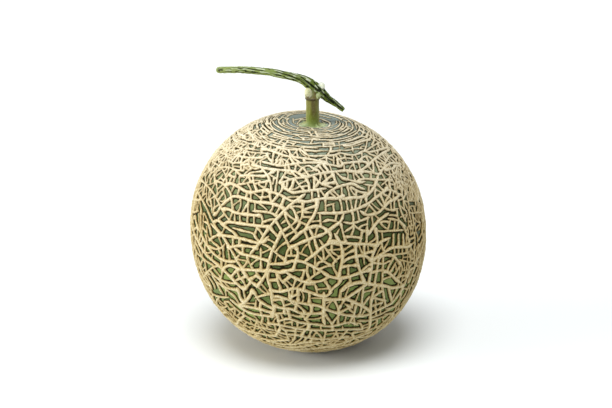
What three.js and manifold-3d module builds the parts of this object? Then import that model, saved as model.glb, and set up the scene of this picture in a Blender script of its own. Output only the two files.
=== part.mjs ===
import * as THREE from 'three';
import { mergeVertices } from 'three/addons/utils/BufferGeometryUtils.js';
import Module from 'manifold-3d';

// A netted melon, picked with its stalk and a short cut piece of the vine across the top.
// Millimetres, +Z up. The origin is the middle of the small flat spot that the fruit rests on.

// Fruit: a slightly squared ball of revolution that leans a little as it rises.
const FRUIT_WIDTH = 150;
const WIDEST_LEVEL = 75.3;        // height of the widest ring above the table
const CROWN_RISE = 74.7;          // from the widest ring up to the top of the undented curve
const CROWN_TILT = 0.07;          // the crown's front lies this much lower for each millimetre of Y
const BASE_DROP = 76.8;           // from the widest ring down to where the curve would close
const SQUARENESS = 2.13;          // 2 is an ellipse, more is squarer
const LEAN = -0.029;              // sideways drift in X for each millimetre of height
const LOBES = 10;                 // faint vein tracts down the sides
const LOBE_DEPTH = 0.4;
const DIMPLE_DEPTH = 5.7;         // the hollow that the stalk stands in
const DIMPLE_RADIUS = 15;
const FRUIT_SEGMENTS = 60;

// Stalk: stands in the dimple, flared at its foot and ringed by a scar near its top.
const STALK_X = 0.4;
const STALK_RADIUS = 4.2;
const STALK_SCAR_RADIUS = 4.5;
const STALK_NECK_RADIUS = 3;
const STALK_FOOT_RADIUS = 7.6;
const STALK_FOOT = 141;           // the foot starts below the dimple's floor and is cut to it
const STALK_FLARE_TOP = 148.5;
const STALK_SCAR = 161.5;         // height of the leaf scar
const STALK_SHOULDER = 163;
const STALK_TOP = 168;            // runs up into the vine and is cut to it

// Vine: the piece of creeping stem that bore the fruit, cut off square at both ends.
// Each row is x, y, z and the radius there, from the thick-leaved end to the growing end.
const VINE_ROUTE = [
  [-59.4, 3.0, 178.5, 1.9],
  [-50.0, 2.6, 178.8, 2.1],
  [-40.7, 2.0, 178.9, 2.2],
  [-28.2, 1.2, 177.9, 2.4],
  [-16.8, 0.5, 176.0, 2.5],
  [-7.1, 0.1, 173.6, 2.8],
  [-0.8, 0.0, 170.1, 3.6],
  [5.0, -0.2, 165.6, 3.4],
  [10.2, -0.6, 161.2, 2.3],
  [15.0, -1.0, 158.0, 1.9],
  [19.8, -1.5, 154.2, 1.35],
];
const VINE_STEPS = 30;
const VINE_SIDES = 14;

// Leaf stalk stub: the rounded foot of a broken leaf stalk, left of the fruit's stalk.
const LEAF_STUB_START = [-1.6, -1.6, 161.2];
const LEAF_STUB_END = [-2.7, -3.0, 168.2];
const LEAF_STUB_RADIUS = 2.5;

// Side shoot stub: a small cut shoot on top of the vine.
const SHOOT_START = [5.0, 0.3, 166.0];
const SHOOT_END = [6.6, 0.6, 171.2];
const SHOOT_RADIUS = 2.0;

const GAP = 0.3;                  // clearance between touching pieces

const wasm = await Module();
wasm.setup();

// Keeps only positions, joins shared corners and drops the empty triangles at a lathe's axis.
function closed(geometry) {
  geometry.deleteAttribute('normal');
  geometry.deleteAttribute('uv');
  const merged = mergeVertices(geometry);
  const old = merged.index.array;
  const kept = [];
  for (let i = 0; i < old.length; i += 3) {
    const [a, b, c] = [old[i], old[i + 1], old[i + 2]];
    if (a !== b && b !== c && c !== a) kept.push(a, b, c);
  }
  merged.setIndex(kept);
  return merged;
}

// Turns an outline of [radius, height] rows around the Z axis.
function lathe(outline, segments) {
  const points = outline.map(([radius, height]) => new THREE.Vector2(radius, height));
  return closed(new THREE.LatheGeometry(points, segments).rotateX(Math.PI / 2));
}

function toSolid(geometry) {
  return new wasm.Manifold(new wasm.Mesh({
    numProp: 3,
    vertProperties: new Float32Array(geometry.attributes.position.array),
    triVerts: new Uint32Array(geometry.index.array),
  }));
}

function toGeometry(solid) {
  const mesh = solid.getMesh();
  const geometry = new THREE.BufferGeometry();
  geometry.setAttribute('position', new THREE.BufferAttribute(mesh.vertProperties, 3));
  geometry.setIndex(new THREE.BufferAttribute(mesh.triVerts, 1));
  return geometry;
}

// Moves every corner of a geometry to where the function puts it.
function reshape(geometry, place) {
  const position = geometry.attributes.position;
  const corner = new THREE.Vector3();
  for (let i = 0; i < position.count; i += 1) {
    place(corner.fromBufferAttribute(position, i));
    position.setXYZ(i, corner.x, corner.y, corner.z);
  }
  return geometry;
}

// The fruit's radius at a height, on the undented curve.
function fruitRadius(height) {
  const rise = height - WIDEST_LEVEL;
  const reach = rise > 0 ? CROWN_RISE : BASE_DROP;
  const share = Math.min(Math.abs(rise) / reach, 1) ** SQUARENESS;
  return (FRUIT_WIDTH / 2) * (1 - share) ** (1 / SQUARENESS);
}

// Adds the faint lobes, the crown's tilt, the lean and the dimple around the stalk.
function growFruit(corner) {
  const around = Math.atan2(corner.y, corner.x);
  const fullness = fruitRadius(corner.z) / (FRUIT_WIDTH / 2);
  const groove = LOBE_DEPTH * (1 - Math.cos(LOBES * around)) / 2 * fullness ** 4;
  const pull = 1 - groove / (FRUIT_WIDTH / 2);
  corner.y *= pull;
  const rise = Math.max(corner.z - WIDEST_LEVEL, 0);
  corner.z += CROWN_TILT * corner.y * rise / CROWN_RISE;
  corner.x = corner.x * pull + LEAN * corner.z;
  if (rise > 0) {
    const away = Math.hypot(corner.x - STALK_X, corner.y) / DIMPLE_RADIUS;
    corner.z -= DIMPLE_DEPTH * Math.exp(-away * away);
  }
}

function makeFruit() {
  const crown = WIDEST_LEVEL + CROWN_RISE;
  const outline = [[0, 0], [fruitRadius(0), 0]];
  const start = -Math.asin(WIDEST_LEVEL / BASE_DROP);
  const shoulder = Math.PI / 3;
  const addRing = (angle) => {
    const reach = angle > 0 ? CROWN_RISE : BASE_DROP;
    const height = WIDEST_LEVEL + reach * Math.sin(angle);
    outline.push([fruitRadius(height), height]);
  };
  const sideRings = 24;
  for (let i = 1; i <= sideRings; i += 1) addRing(start + (shoulder - start) * i / sideRings);
  const crownRings = 9;
  for (let i = 1; i < crownRings; i += 1) {
    addRing(shoulder + (Math.PI / 2 - shoulder) * i / crownRings);
  }
  outline.push([0, crown]);
  return reshape(lathe(outline, FRUIT_SEGMENTS), growFruit);
}

// A round bar along a smooth route of [x, y, z, radius] rows, grown by extra on every side.
function makeBar(route, steps, sides, extra = 0) {
  const curve = new THREE.CatmullRomCurve3(route.map(([x, y, z]) => new THREE.Vector3(x, y, z)));
  const lastRow = route.length - 1;
  const radiusAt = (share) => {
    const row = Math.min(Math.floor(share * lastRow), lastRow - 1);
    const blend = share * lastRow - row;
    return THREE.MathUtils.lerp(route[row][3], route[row + 1][3], blend) + extra;
  };
  const outline = [[0, 0]];
  for (let i = 0; i <= steps; i += 1) outline.push([radiusAt(i / steps), i / steps]);
  outline.push([0, 1]);
  return reshape(lathe(outline, sides), (corner) => {
    const share = THREE.MathUtils.clamp(corner.z, 0, 1);
    const along = curve.getTangent(share);
    const side = new THREE.Vector3(0, 1, 0).addScaledVector(along, -along.y).normalize();
    const over = new THREE.Vector3().crossVectors(along, side);
    const centre = curve.getPoint(share).addScaledVector(along, extra * (2 * share - 1));
    corner.copy(centre.addScaledVector(over, -corner.x).addScaledVector(side, corner.y));
  });
}

// A short stub with a domed end.
function makeStub(start, end, radius, extra = 0) {
  const length = new THREE.Vector3(...end).distanceTo(new THREE.Vector3(...start));
  const steps = 7;
  const outline = [[0, -extra], [radius + extra, -extra]];
  for (let i = 0; i < steps; i += 1) {
    const angle = Math.PI / 2 * i / steps;
    const height = length - radius + (radius + extra) * Math.sin(angle);
    outline.push([(radius + extra) * Math.cos(angle), height]);
  }
  outline.push([0, length + extra]);
  const axis = new THREE.Vector3(...end).sub(new THREE.Vector3(...start)).normalize();
  const turn = new THREE.Quaternion().setFromUnitVectors(new THREE.Vector3(0, 0, 1), axis);
  return lathe(outline, 16).applyQuaternion(turn).translate(...start);
}

function makeStalk() {
  const outline = [
    [0, STALK_FOOT],
    [STALK_FOOT_RADIUS, STALK_FOOT],
    [STALK_FOOT_RADIUS, STALK_FLARE_TOP - 3.6],
    [STALK_RADIUS + 1.1, STALK_FLARE_TOP - 2.2],
    [STALK_RADIUS + 0.3, STALK_FLARE_TOP],
    [STALK_RADIUS, (STALK_FLARE_TOP + STALK_SCAR) / 2],
    [STALK_SCAR_RADIUS, STALK_SCAR],
    [STALK_NECK_RADIUS, STALK_SHOULDER],
    [STALK_NECK_RADIUS, STALK_TOP],
    [0, STALK_TOP],
  ];
  return lathe(outline, 24).translate(STALK_X, 0, 0);
}

const melon = new THREE.Group();

function addPiece(name, geometry, color, roughness) {
  const material = new THREE.MeshStandardMaterial({ color, roughness, metalness: 0 });
  const mesh = new THREE.Mesh(geometry, material);
  mesh.name = name;
  melon.add(mesh);
}

const fruit = makeFruit();
const raisedFruit = toSolid(fruit.clone().translate(0, 0, GAP));
const wideVine = toSolid(makeBar(VINE_ROUTE, VINE_STEPS, VINE_SIDES, GAP));
const wideLeafStub = toSolid(makeStub(LEAF_STUB_START, LEAF_STUB_END, LEAF_STUB_RADIUS, GAP));
const leafStub = toSolid(makeStub(LEAF_STUB_START, LEAF_STUB_END, LEAF_STUB_RADIUS));
const shoot = toSolid(makeStub(SHOOT_START, SHOOT_END, SHOOT_RADIUS));
const stalk = toSolid(makeStalk()).subtract(raisedFruit).subtract(wideVine).subtract(wideLeafStub);

addPiece('fruit', fruit, 0xb9b080, 0.6);
addPiece('fruit_stalk', toGeometry(stalk), 0x6f7438, 0.6);
addPiece('vine_section', makeBar(VINE_ROUTE, VINE_STEPS, VINE_SIDES), 0x7c8455, 0.6);
addPiece('leaf_stalk_stub', toGeometry(leafStub.subtract(wideVine)), 0xc5c494, 0.5);
addPiece('side_shoot_stub', toGeometry(shoot.subtract(wideVine)), 0xdfe2c8, 0.5);

export default melon;
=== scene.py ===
"""A netted melon with its stalk and a cut piece of vine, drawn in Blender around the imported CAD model.

Lengths are in millimetres until a mesh is made, and metres from then on.
"""
import math
import random
import bpy
import numpy as np
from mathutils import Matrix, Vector
from mathutils.kdtree import KDTree


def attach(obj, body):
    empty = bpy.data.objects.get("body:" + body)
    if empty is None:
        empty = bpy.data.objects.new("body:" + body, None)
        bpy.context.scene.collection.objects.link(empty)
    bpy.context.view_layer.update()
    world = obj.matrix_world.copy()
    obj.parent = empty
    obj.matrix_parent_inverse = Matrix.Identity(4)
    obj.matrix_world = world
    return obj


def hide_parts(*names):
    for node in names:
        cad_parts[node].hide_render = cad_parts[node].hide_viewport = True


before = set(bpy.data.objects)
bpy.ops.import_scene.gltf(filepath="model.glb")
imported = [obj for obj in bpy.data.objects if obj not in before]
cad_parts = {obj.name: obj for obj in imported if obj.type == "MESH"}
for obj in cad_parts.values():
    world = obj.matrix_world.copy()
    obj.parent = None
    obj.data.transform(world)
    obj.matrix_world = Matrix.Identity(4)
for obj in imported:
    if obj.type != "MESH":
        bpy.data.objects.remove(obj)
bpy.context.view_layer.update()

MM = 0.001

# The fruit's outside, which the crests of the net touch. The same numbers shape the CAD fruit.
HALF_WIDTH = 75.0
WIDEST_LEVEL = 75.3
CROWN_RISE = 74.7
CROWN_TILT = 0.07          # the crown faces the viewer a little: its front lies lower than its back
BASE_DROP = 76.8
SQUARENESS = 2.13
LEAN = -0.029
LOBES = 10
LOBE_DEPTH = 0.4
DIMPLE_DEPTH = 5.7
DIMPLE_RADIUS = 15.0
STALK_X = 0.4

# The net. Cords are half round bars grown out of the skin.
NET_SEED = 7
SKIN_INSET = ((0, 14, 22, 32, 60), (0.40, 0.42, 0.60, 0.95, 1.35))   # depth below the crests
FOOT_HEIGHT = 0.11         # of the low foot along both sides of a cord, as a share of the cord's height; its near-black colour is painted shade where cord and skin meet
FOOT_REACH = 1.45          # of the foot from the cord's middle line, in half widths
# Both by degrees from the stalk: skin and cork are painted paler towards it, partly a paler crown, partly
# painted sheen from the light above; the skin is painted a lighter green below, partly a paler blossom end,
# partly painted light bounced from the floor.
CROWN_TINT = ((10, 25, 45, 60, 80), (1.0, 0.95, 0.6, 0.3, 0.0))
# The skin is painted lighter below: partly a paler blossom end, partly painted light bounced up from the
# floor.
BASE_TINT = ((80, 98), (0.0, 1.0))
CORD_FOOT = 0.3            # how far a cord's sides run on below the skin
CORD_BOTTOM = 0.5          # how far below the skin its flat underside is
SIDE_REACH = 1.2           # how far out its sides are followed, in foot reaches
HALF_WIDTHS = (1.22, 0.95, 0.73)   # of long cords, branches and rungs
FLARE = 0.4                # how much wider a cord is where it runs into another
FLARE_PLACE = 1.0          # how far from the cord's end it is widest there
FLARE_SPAN = 1.1           # over how long a stretch
TAPER = 0.45               # how much thinner a cord is at an end that touches no other
TAPER_SPAN = 1.2           # over how long a stretch
KNOBBLES = 0.45            # how much a cord's width varies at random, over about KNOBBLE_CELL
KNOBBLE_CELL = 2.0
CORD_GRAIN = 0.34          # how rough the cords' tops are, over about CORD_GRAIN_CELL
CORD_GRAIN_CELL = 1.1
# A cord's height as a share of the skin's depth: this much, and so much more for each millimetre of half
# width, but not over 1.
LEAST_RELIEF = 0.40
RELIEF_GAIN = 0.55
# The share of HALF_WIDTHS that cords have, by degrees from the stalk, and how much less in fine patches.
FINENESS = ((10, 22, 45, 70, 110, 150), (0.56, 0.66, 0.88, 0.95, 0.98, 0.85))
PATCH_FINENESS = 0.18
# How much cords seen in front and grown ones vary in width at random.
SEEN_WIDTHS = (0.93, 1.07)
GROWN_WIDTHS = (0.85, 1.15)
# A cord's end with more than its own points within JOIN_REACH of it lies on another cord.
JOIN_REACH = 0.9
OWN_POINTS = 2

# The net's growth. A cord starts in the barest place and grows both ways.
NET_STARTS_BARE = 30.0     # the bareness before any cord is laid
CELL_SAMPLES = 24000       # places where the bareness is watched while the net grows
WATCHED_BEYOND = 12.0      # how far beyond a new cord's own reach it is measured again
SPENT_BARENESS = 0.6       # a place that is still so bare after a cord has started there is left alone
# By degrees from the stalk: how far a finished cell's middle may lie from the nearest cord.
CELL_RADII = ((0, 10, 14, 30, 50, 75, 100, 125, 150, 180),
              (2.2, 2.1, 1.9, 1.4, 1.75, 2.6, 2.75, 2.3, 1.7, 1.6))
SMALLEST_CELL = 0.95
CELL_VARIETY = 0.6         # how much that radius varies at random, over about CELL_VARIETY_CELL
CELL_VARIETY_CELL = 16.0
PATCH_CELLS = 0.35         # how much smaller cells are in the fine patches
PATCH_FADE = 1.6           # how fast a fine patch fades towards its edge
BARE_CELLS = 4             # how many millimetres wider cells are in the bare patches
BARE_FADE = 1.5            # how far such a patch reaches, in its own radii
# By degrees from the stalk: how strongly long cords follow rings around it.
RING_PULL = ((0, 15, 35, 60, 90, 115, 140, 180), (0.3, 0.45, 0.2, 0.05, 0.0, 0.04, 0.12, 0.2))
# Where that pull is weak, long cords run in two families, square to each other.
TWO_FAMILIES_UP_TO = 0.1   # the strongest pull at which they do
FIRST_FAMILY = 0.55        # the share of them in the family that would run round the stalk
WEAVE_BELOW = 0.2          # the pull below which their directions wander over the fruit
WEAVE_TURN = 2.2           # by how much, in radians
WEAVE_CELL = 55.0          # over how long a way
GROW_STEP = 0.5            # between the points of a growing cord
SAMPLE_STEP = 0.36         # between the places where a finished cord is drawn
SEEN_BACK_TO = 6.0         # the Y beyond which the crown slants too much to read its cords
CROWN_LEVEL = 0.75         # the crown starts so far up from the ball's middle, as a share of its radius
CROWN_EDGE = 32.0          # cords within so many degrees of the stalk mostly run round it
CROWN_RINGS = 0.65         # this share of them
LONG_CORD_NEED = 3.0       # how many times too bare a patch is where a long cord starts
BRANCH_NEED = 1.35         # the same for a branch
# How far cords may grow each way. A branch and a rung grow less far on the crown than below it.
LONG_REACH = (9, 26)
RING_REACH = (2.5, 9)
BRANCH_REACH = ((4, 14), (8, 16))
RUNG_REACH = (6.0, 9.0)
# How much each kind of cord curls, and how likely it is to run on across another.
LONG_HABIT = (0.035, 0.3)
RING_HABIT = (0.02, 0.1)
BRANCH_HABIT = (0.06, 0.1)
RUNG_HABIT = (0.08, 0.0)
# How much the directions they start in vary, in radians.
LONG_SWING = 0.22
RING_SWING = 0.12
BRANCH_SWING = 0.42
RING_GRAIN = 0.5           # how strongly a ring keeps running round the stalk
RING_SENSE = 0.95          # how far off it feels other cords

# The skin.
CELL_PUFF = 0.22           # how much higher it is in the middle of a cell than beside a cord
SKIN_ROLL = 0.25           # how uneven it is, over about SKIN_ROLL_CELL
SKIN_ROLL_CELL = 9.0
BARE_BEYOND = 2.2          # how far from a cord's edge it is fully bare
SKIN_REST = 0.45           # its height over the table: only the net touches that

# Grid steps along a cube face, for the cords, for those around the stalk and for the skin.
CORD_GRID = 330
CROWN_GRID = 640
SKIN_GRID = 100
CORD_TRIANGLES = 190000
CROWN_TRIANGLES = 160000
CROWN_REACH = 27.0         # the net within so many degrees of the stalk is a finer piece
CROWN_LAP = 0.6            # how many degrees that piece runs on into the others

# The camera, from the middle of the fruit.
CAMERA_ELEVATION = 18.0
CAMERA_DISTANCE = 1000.0
CAMERA_LENS = 92.4
CAMERA_SHIFT = (-0.0038, 0.0431)
SENSOR_WIDTH = 36.0
VIEW_WIDTH, VIEW_HEIGHT = 612, 408


# The main cords that the front shows. Each row is a smooth cord through a few places, given as pixels
# of a 612 by 408 front view through the camera above.
CROWN_CORDS = [
    [(299, 116.3), (294.8, 117.6), (293.3, 120.3), (294.8, 123), (300.9, 124.5)],
    [(297.8, 114.7), (291.7, 116), (287.1, 119.9), (288.7, 123.4), (293.3, 126), (302.4, 128)],
    [(287.9, 113.8), (283.3, 116.5), (278.7, 120.3), (281.8, 124.9), (289.4, 128), (297.8, 129.9),
     (308.6, 131.4)],
    [(280.2, 114.9), (274.9, 118), (270.3, 121.8), (272.6, 127.2), (280.2, 131.4), (291.7, 133.7),
     (304, 134.5), (316.2, 135.6), (327.7, 135.2)],
    [(320.8, 119.5), (327.7, 118.4), (335.3, 120.3), (336.1, 123.4), (328.5, 126), (320, 128)],
    [(332.3, 117.2), (338.4, 120.3), (339.9, 124.1), (333.8, 128.7), (323.9, 131.4), (313.1, 131.8)],
    [(337.6, 115.7), (345.3, 120.3), (346, 125.7), (339.2, 131), (328.5, 134.1)],
    [(341.5, 116.5), (350.6, 121.8), (352.9, 128), (345.3, 133.3), (334.6, 136.4), (322.3, 136.8),
     (310.1, 136.4)],
    [(346.8, 117.2), (356, 121.8), (359.8, 128), (354.5, 134.1), (343, 137.9), (330, 139.8)],
    [(270.3, 130.2), (280.2, 134.1), (291.7, 137.9), (304, 139.4), (316.2, 138.7)],
    [(269.5, 135.6), (278, 137.5), (287.1, 139.8), (297.8, 141.7), (308.6, 143.3), (320, 142.5),
     (331.5, 141.7), (343, 140.2), (352.9, 137.1)],
    [(259.6, 131.8), (266.5, 139.4), (276.4, 142.5), (287.1, 144.8), (299.4, 145.6), (310.1, 146.3),
     (320.8, 145.9), (332.3, 145.6), (343.8, 144), (354.5, 141.7), (365.2, 137.9)],
]
LONG_CORDS = [
    # upper band
    [(262, 161), (274, 164), (283, 165), (293, 163.5), (307, 162), (321, 162.5), (335, 165), (340, 166),
     (344, 163), (350, 162), (363, 161), (369, 163)],
    [(252, 164), (262, 167), (275, 169), (289, 170), (295, 171), (299, 173), (303, 175.5), (307, 176.5)],
    [(262, 148), (274, 151), (285, 155), (299, 157), (313, 159), (327, 162)],
    [(277, 147), (289, 149), (300, 149), (309, 155), (323, 155), (335, 154.5), (340, 152.5), (346, 153.5),
     (353, 154.5), (359, 153), (364, 150.5), (369, 151.5), (381, 149), (388, 147)],
    [(344, 145), (351, 144.5), (363, 140.5), (370, 139)],
    [(346, 141), (352, 139.5), (361, 136), (367, 137)],
    [(346, 170), (358, 172), (364, 171), (370, 171.5), (380, 173.5), (383, 169), (391, 163), (401, 163.5)],
    [(359, 171.5), (367, 166), (374, 159.5), (382, 153.5), (390, 149)],
    [(240, 175.5), (247, 175), (260, 175.5), (266, 175), (274, 170)],
    [(236, 155), (249, 157), (262, 157)],
    # middle band
    [(280, 182), (283, 182), (290, 179), (299, 177.5), (307, 176.5), (318, 173.5), (335, 171), (350, 170),
     (363, 172)],
    [(284, 187), (292, 192), (300, 191.5), (316, 189.5), (326, 188)],
    [(298, 200.5), (307, 201.5), (318, 199), (330, 198), (338, 198), (344, 195.5)],
    [(343, 199), (352, 197.5), (362, 197), (367, 194.5)],
    [(326, 197), (328, 193), (335, 188), (343, 185), (353, 183.5), (360, 187), (365, 189)],
    [(318, 213), (332, 213), (346, 212), (357, 209), (368, 204), (377, 197), (385, 191), (388, 187.5)],
    [(221, 205), (228, 199), (234, 196), (244, 198), (254, 201.5), (267, 202.5), (277, 205), (285, 209)],
    [(225, 184.5), (230, 183), (237, 186), (245, 191), (252, 192), (265, 189.5), (269, 191)],
    [(222, 209.5), (227, 209), (236, 213), (251, 215), (260, 215.5)],
    [(213, 222), (217, 220.5), (223, 224), (227, 222), (235, 223), (254, 225.5), (269, 227)],
    [(379, 175), (376, 184), (372, 191), (367, 196), (367, 202)],
    [(361, 211), (368, 215), (379, 212.5), (385, 207), (389, 202.5), (397, 198), (400, 194)],
    [(389, 213.5), (381, 219.5), (375, 226), (369, 235)],
    [(317.5, 200), (316.5, 209), (312.5, 218), (307.5, 225), (307, 229)],
    # lower middle band
    [(305, 194), (296, 200.5), (286, 209), (274, 221.5), (265, 233), (259, 243), (249.5, 254.5)],
    [(281, 232), (275, 245), (271.5, 252), (269, 261), (267, 270), (264, 277), (256.5, 287.5)],
    [(290, 248), (300, 243.5), (312, 238.5), (324, 234), (333, 227.5), (341, 221), (344, 214)],
    [(290, 242), (302.5, 231.5), (311, 227.5), (320, 226.5), (327.5, 230.5), (331, 236), (328.5, 244)],
    [(295.5, 247), (298, 254), (295, 264), (293, 270.5)],
    [(270, 264.5), (284, 264), (292, 261.5), (302, 262), (312, 266.5), (320, 270.5), (330, 277),
     (340, 278.5), (348, 277.5), (357, 274.5), (366, 271.5), (371, 269.5)],
    [(305, 261.5), (314, 255), (321, 249), (328.5, 244), (334, 243.5), (340, 244)],
    [(331, 241), (341, 242.5), (353, 244), (368, 244.5), (377, 246)],
    [(335, 234), (340.5, 243), (343, 253), (342, 264), (339, 277)],
    [(268, 270.5), (281, 273), (286, 272.5), (292, 277), (302, 281.5), (310, 284)],
    [(281, 272.5), (287, 271), (293, 270.5)],
    [(341, 279), (339, 284), (332, 290), (330, 294)],
    [(376.5, 229), (378, 240), (377, 246), (373, 257), (372, 269), (370, 281), (369.5, 286)],
    [(342.5, 262.5), (351, 258), (361, 256), (367, 257), (372.5, 261)],
    [(356, 244.5), (357, 258), (360.5, 271), (364.5, 282)],
    [(373.5, 260.5), (383, 254), (393, 248), (407, 247), (412, 245)],
    [(377, 247), (382, 242), (391, 238)],
    [(379, 258.5), (384, 256), (390, 255), (395, 257), (401, 264)],
    [(384.5, 272), (389, 272.5), (396, 279), (401, 283)],
    [(342, 291), (350, 286), (360, 283), (374, 285), (387, 286.5), (392, 288.5), (404, 286)],
    [(210.3, 223.8), (215.5, 229.5), (220.3, 234.4), (226.2, 243.2), (233.8, 256.2), (238, 263.8),
     (243, 270)],
    [(217, 235), (231, 237), (245, 240), (256.5, 243), (263, 242), (268, 236.5)],
    [(227.5, 248), (239, 246), (251, 247), (256, 248.5)],
    [(234, 248.5), (241, 254), (253, 257), (269, 261.5)],
    [(221.5, 271), (225, 267), (231, 266), (239, 269.5), (252, 270.5), (268, 271.5)],
    [(200, 234), (206, 245), (214, 255), (224, 261), (235, 262)],
    [(198, 244), (206, 255.5), (219, 267), (232, 279.5), (240, 287.5), (245, 289)],
    [(238, 269.5), (234, 273), (230.5, 277.5)],
    [(242, 271), (248.5, 280), (256, 286.5)],
    # bottom band
    [(268, 273), (267.5, 279), (271, 292), (272, 303.5), (274, 309), (272, 317)],
    [(273.5, 297), (280, 297.5), (294, 302), (308, 305), (319, 306.5), (326, 310), (340, 314.5), (358, 317),
     (369, 315), (379, 310), (390, 305), (397, 298), (404, 287), (410, 272)],
    [(274, 306), (280, 308.5), (292, 310), (302, 314), (315, 314), (324, 314)],
    [(277, 322), (289, 319.5), (300, 323), (319, 325.5), (331, 327), (350, 323), (358, 325.5)],
    [(268, 324), (279, 325.5), (300, 329.5), (324, 331), (350, 330), (363, 330)],
    [(276, 331.5), (284, 334.5), (298, 336), (313, 339), (331, 339.5), (349, 337)],
    [(324, 293), (324, 307), (323.5, 319), (325, 325)],
    [(309, 324.5), (308.3, 330)],
    [(276.5, 314.5), (279, 324.5), (280, 329), (275.5, 336.5)],
    [(270, 291), (276, 292), (282, 292), (289, 290), (295, 289), (306, 291.5), (318, 295.5), (326, 296.5),
     (332, 293)],
    [(324, 300), (338, 300), (346, 299), (355, 293.5), (362, 288.5), (367, 284.5)],
    [(347, 299.5), (357, 304), (362, 306), (371, 311.5)],
    [(376, 286), (373, 296), (371.5, 305), (371, 318), (370.5, 326), (368, 331)],
    [(252, 291), (247, 299.5), (240, 306)],
    [(237, 290), (240.5, 300), (244, 303)],
    [(253, 292), (259, 301), (268, 307), (274, 310)],
    [(240, 306), (248, 307.5), (260, 310), (273, 314)],
    [(230, 300), (241, 308.5), (252, 314), (272, 317.5)],
]
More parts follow.
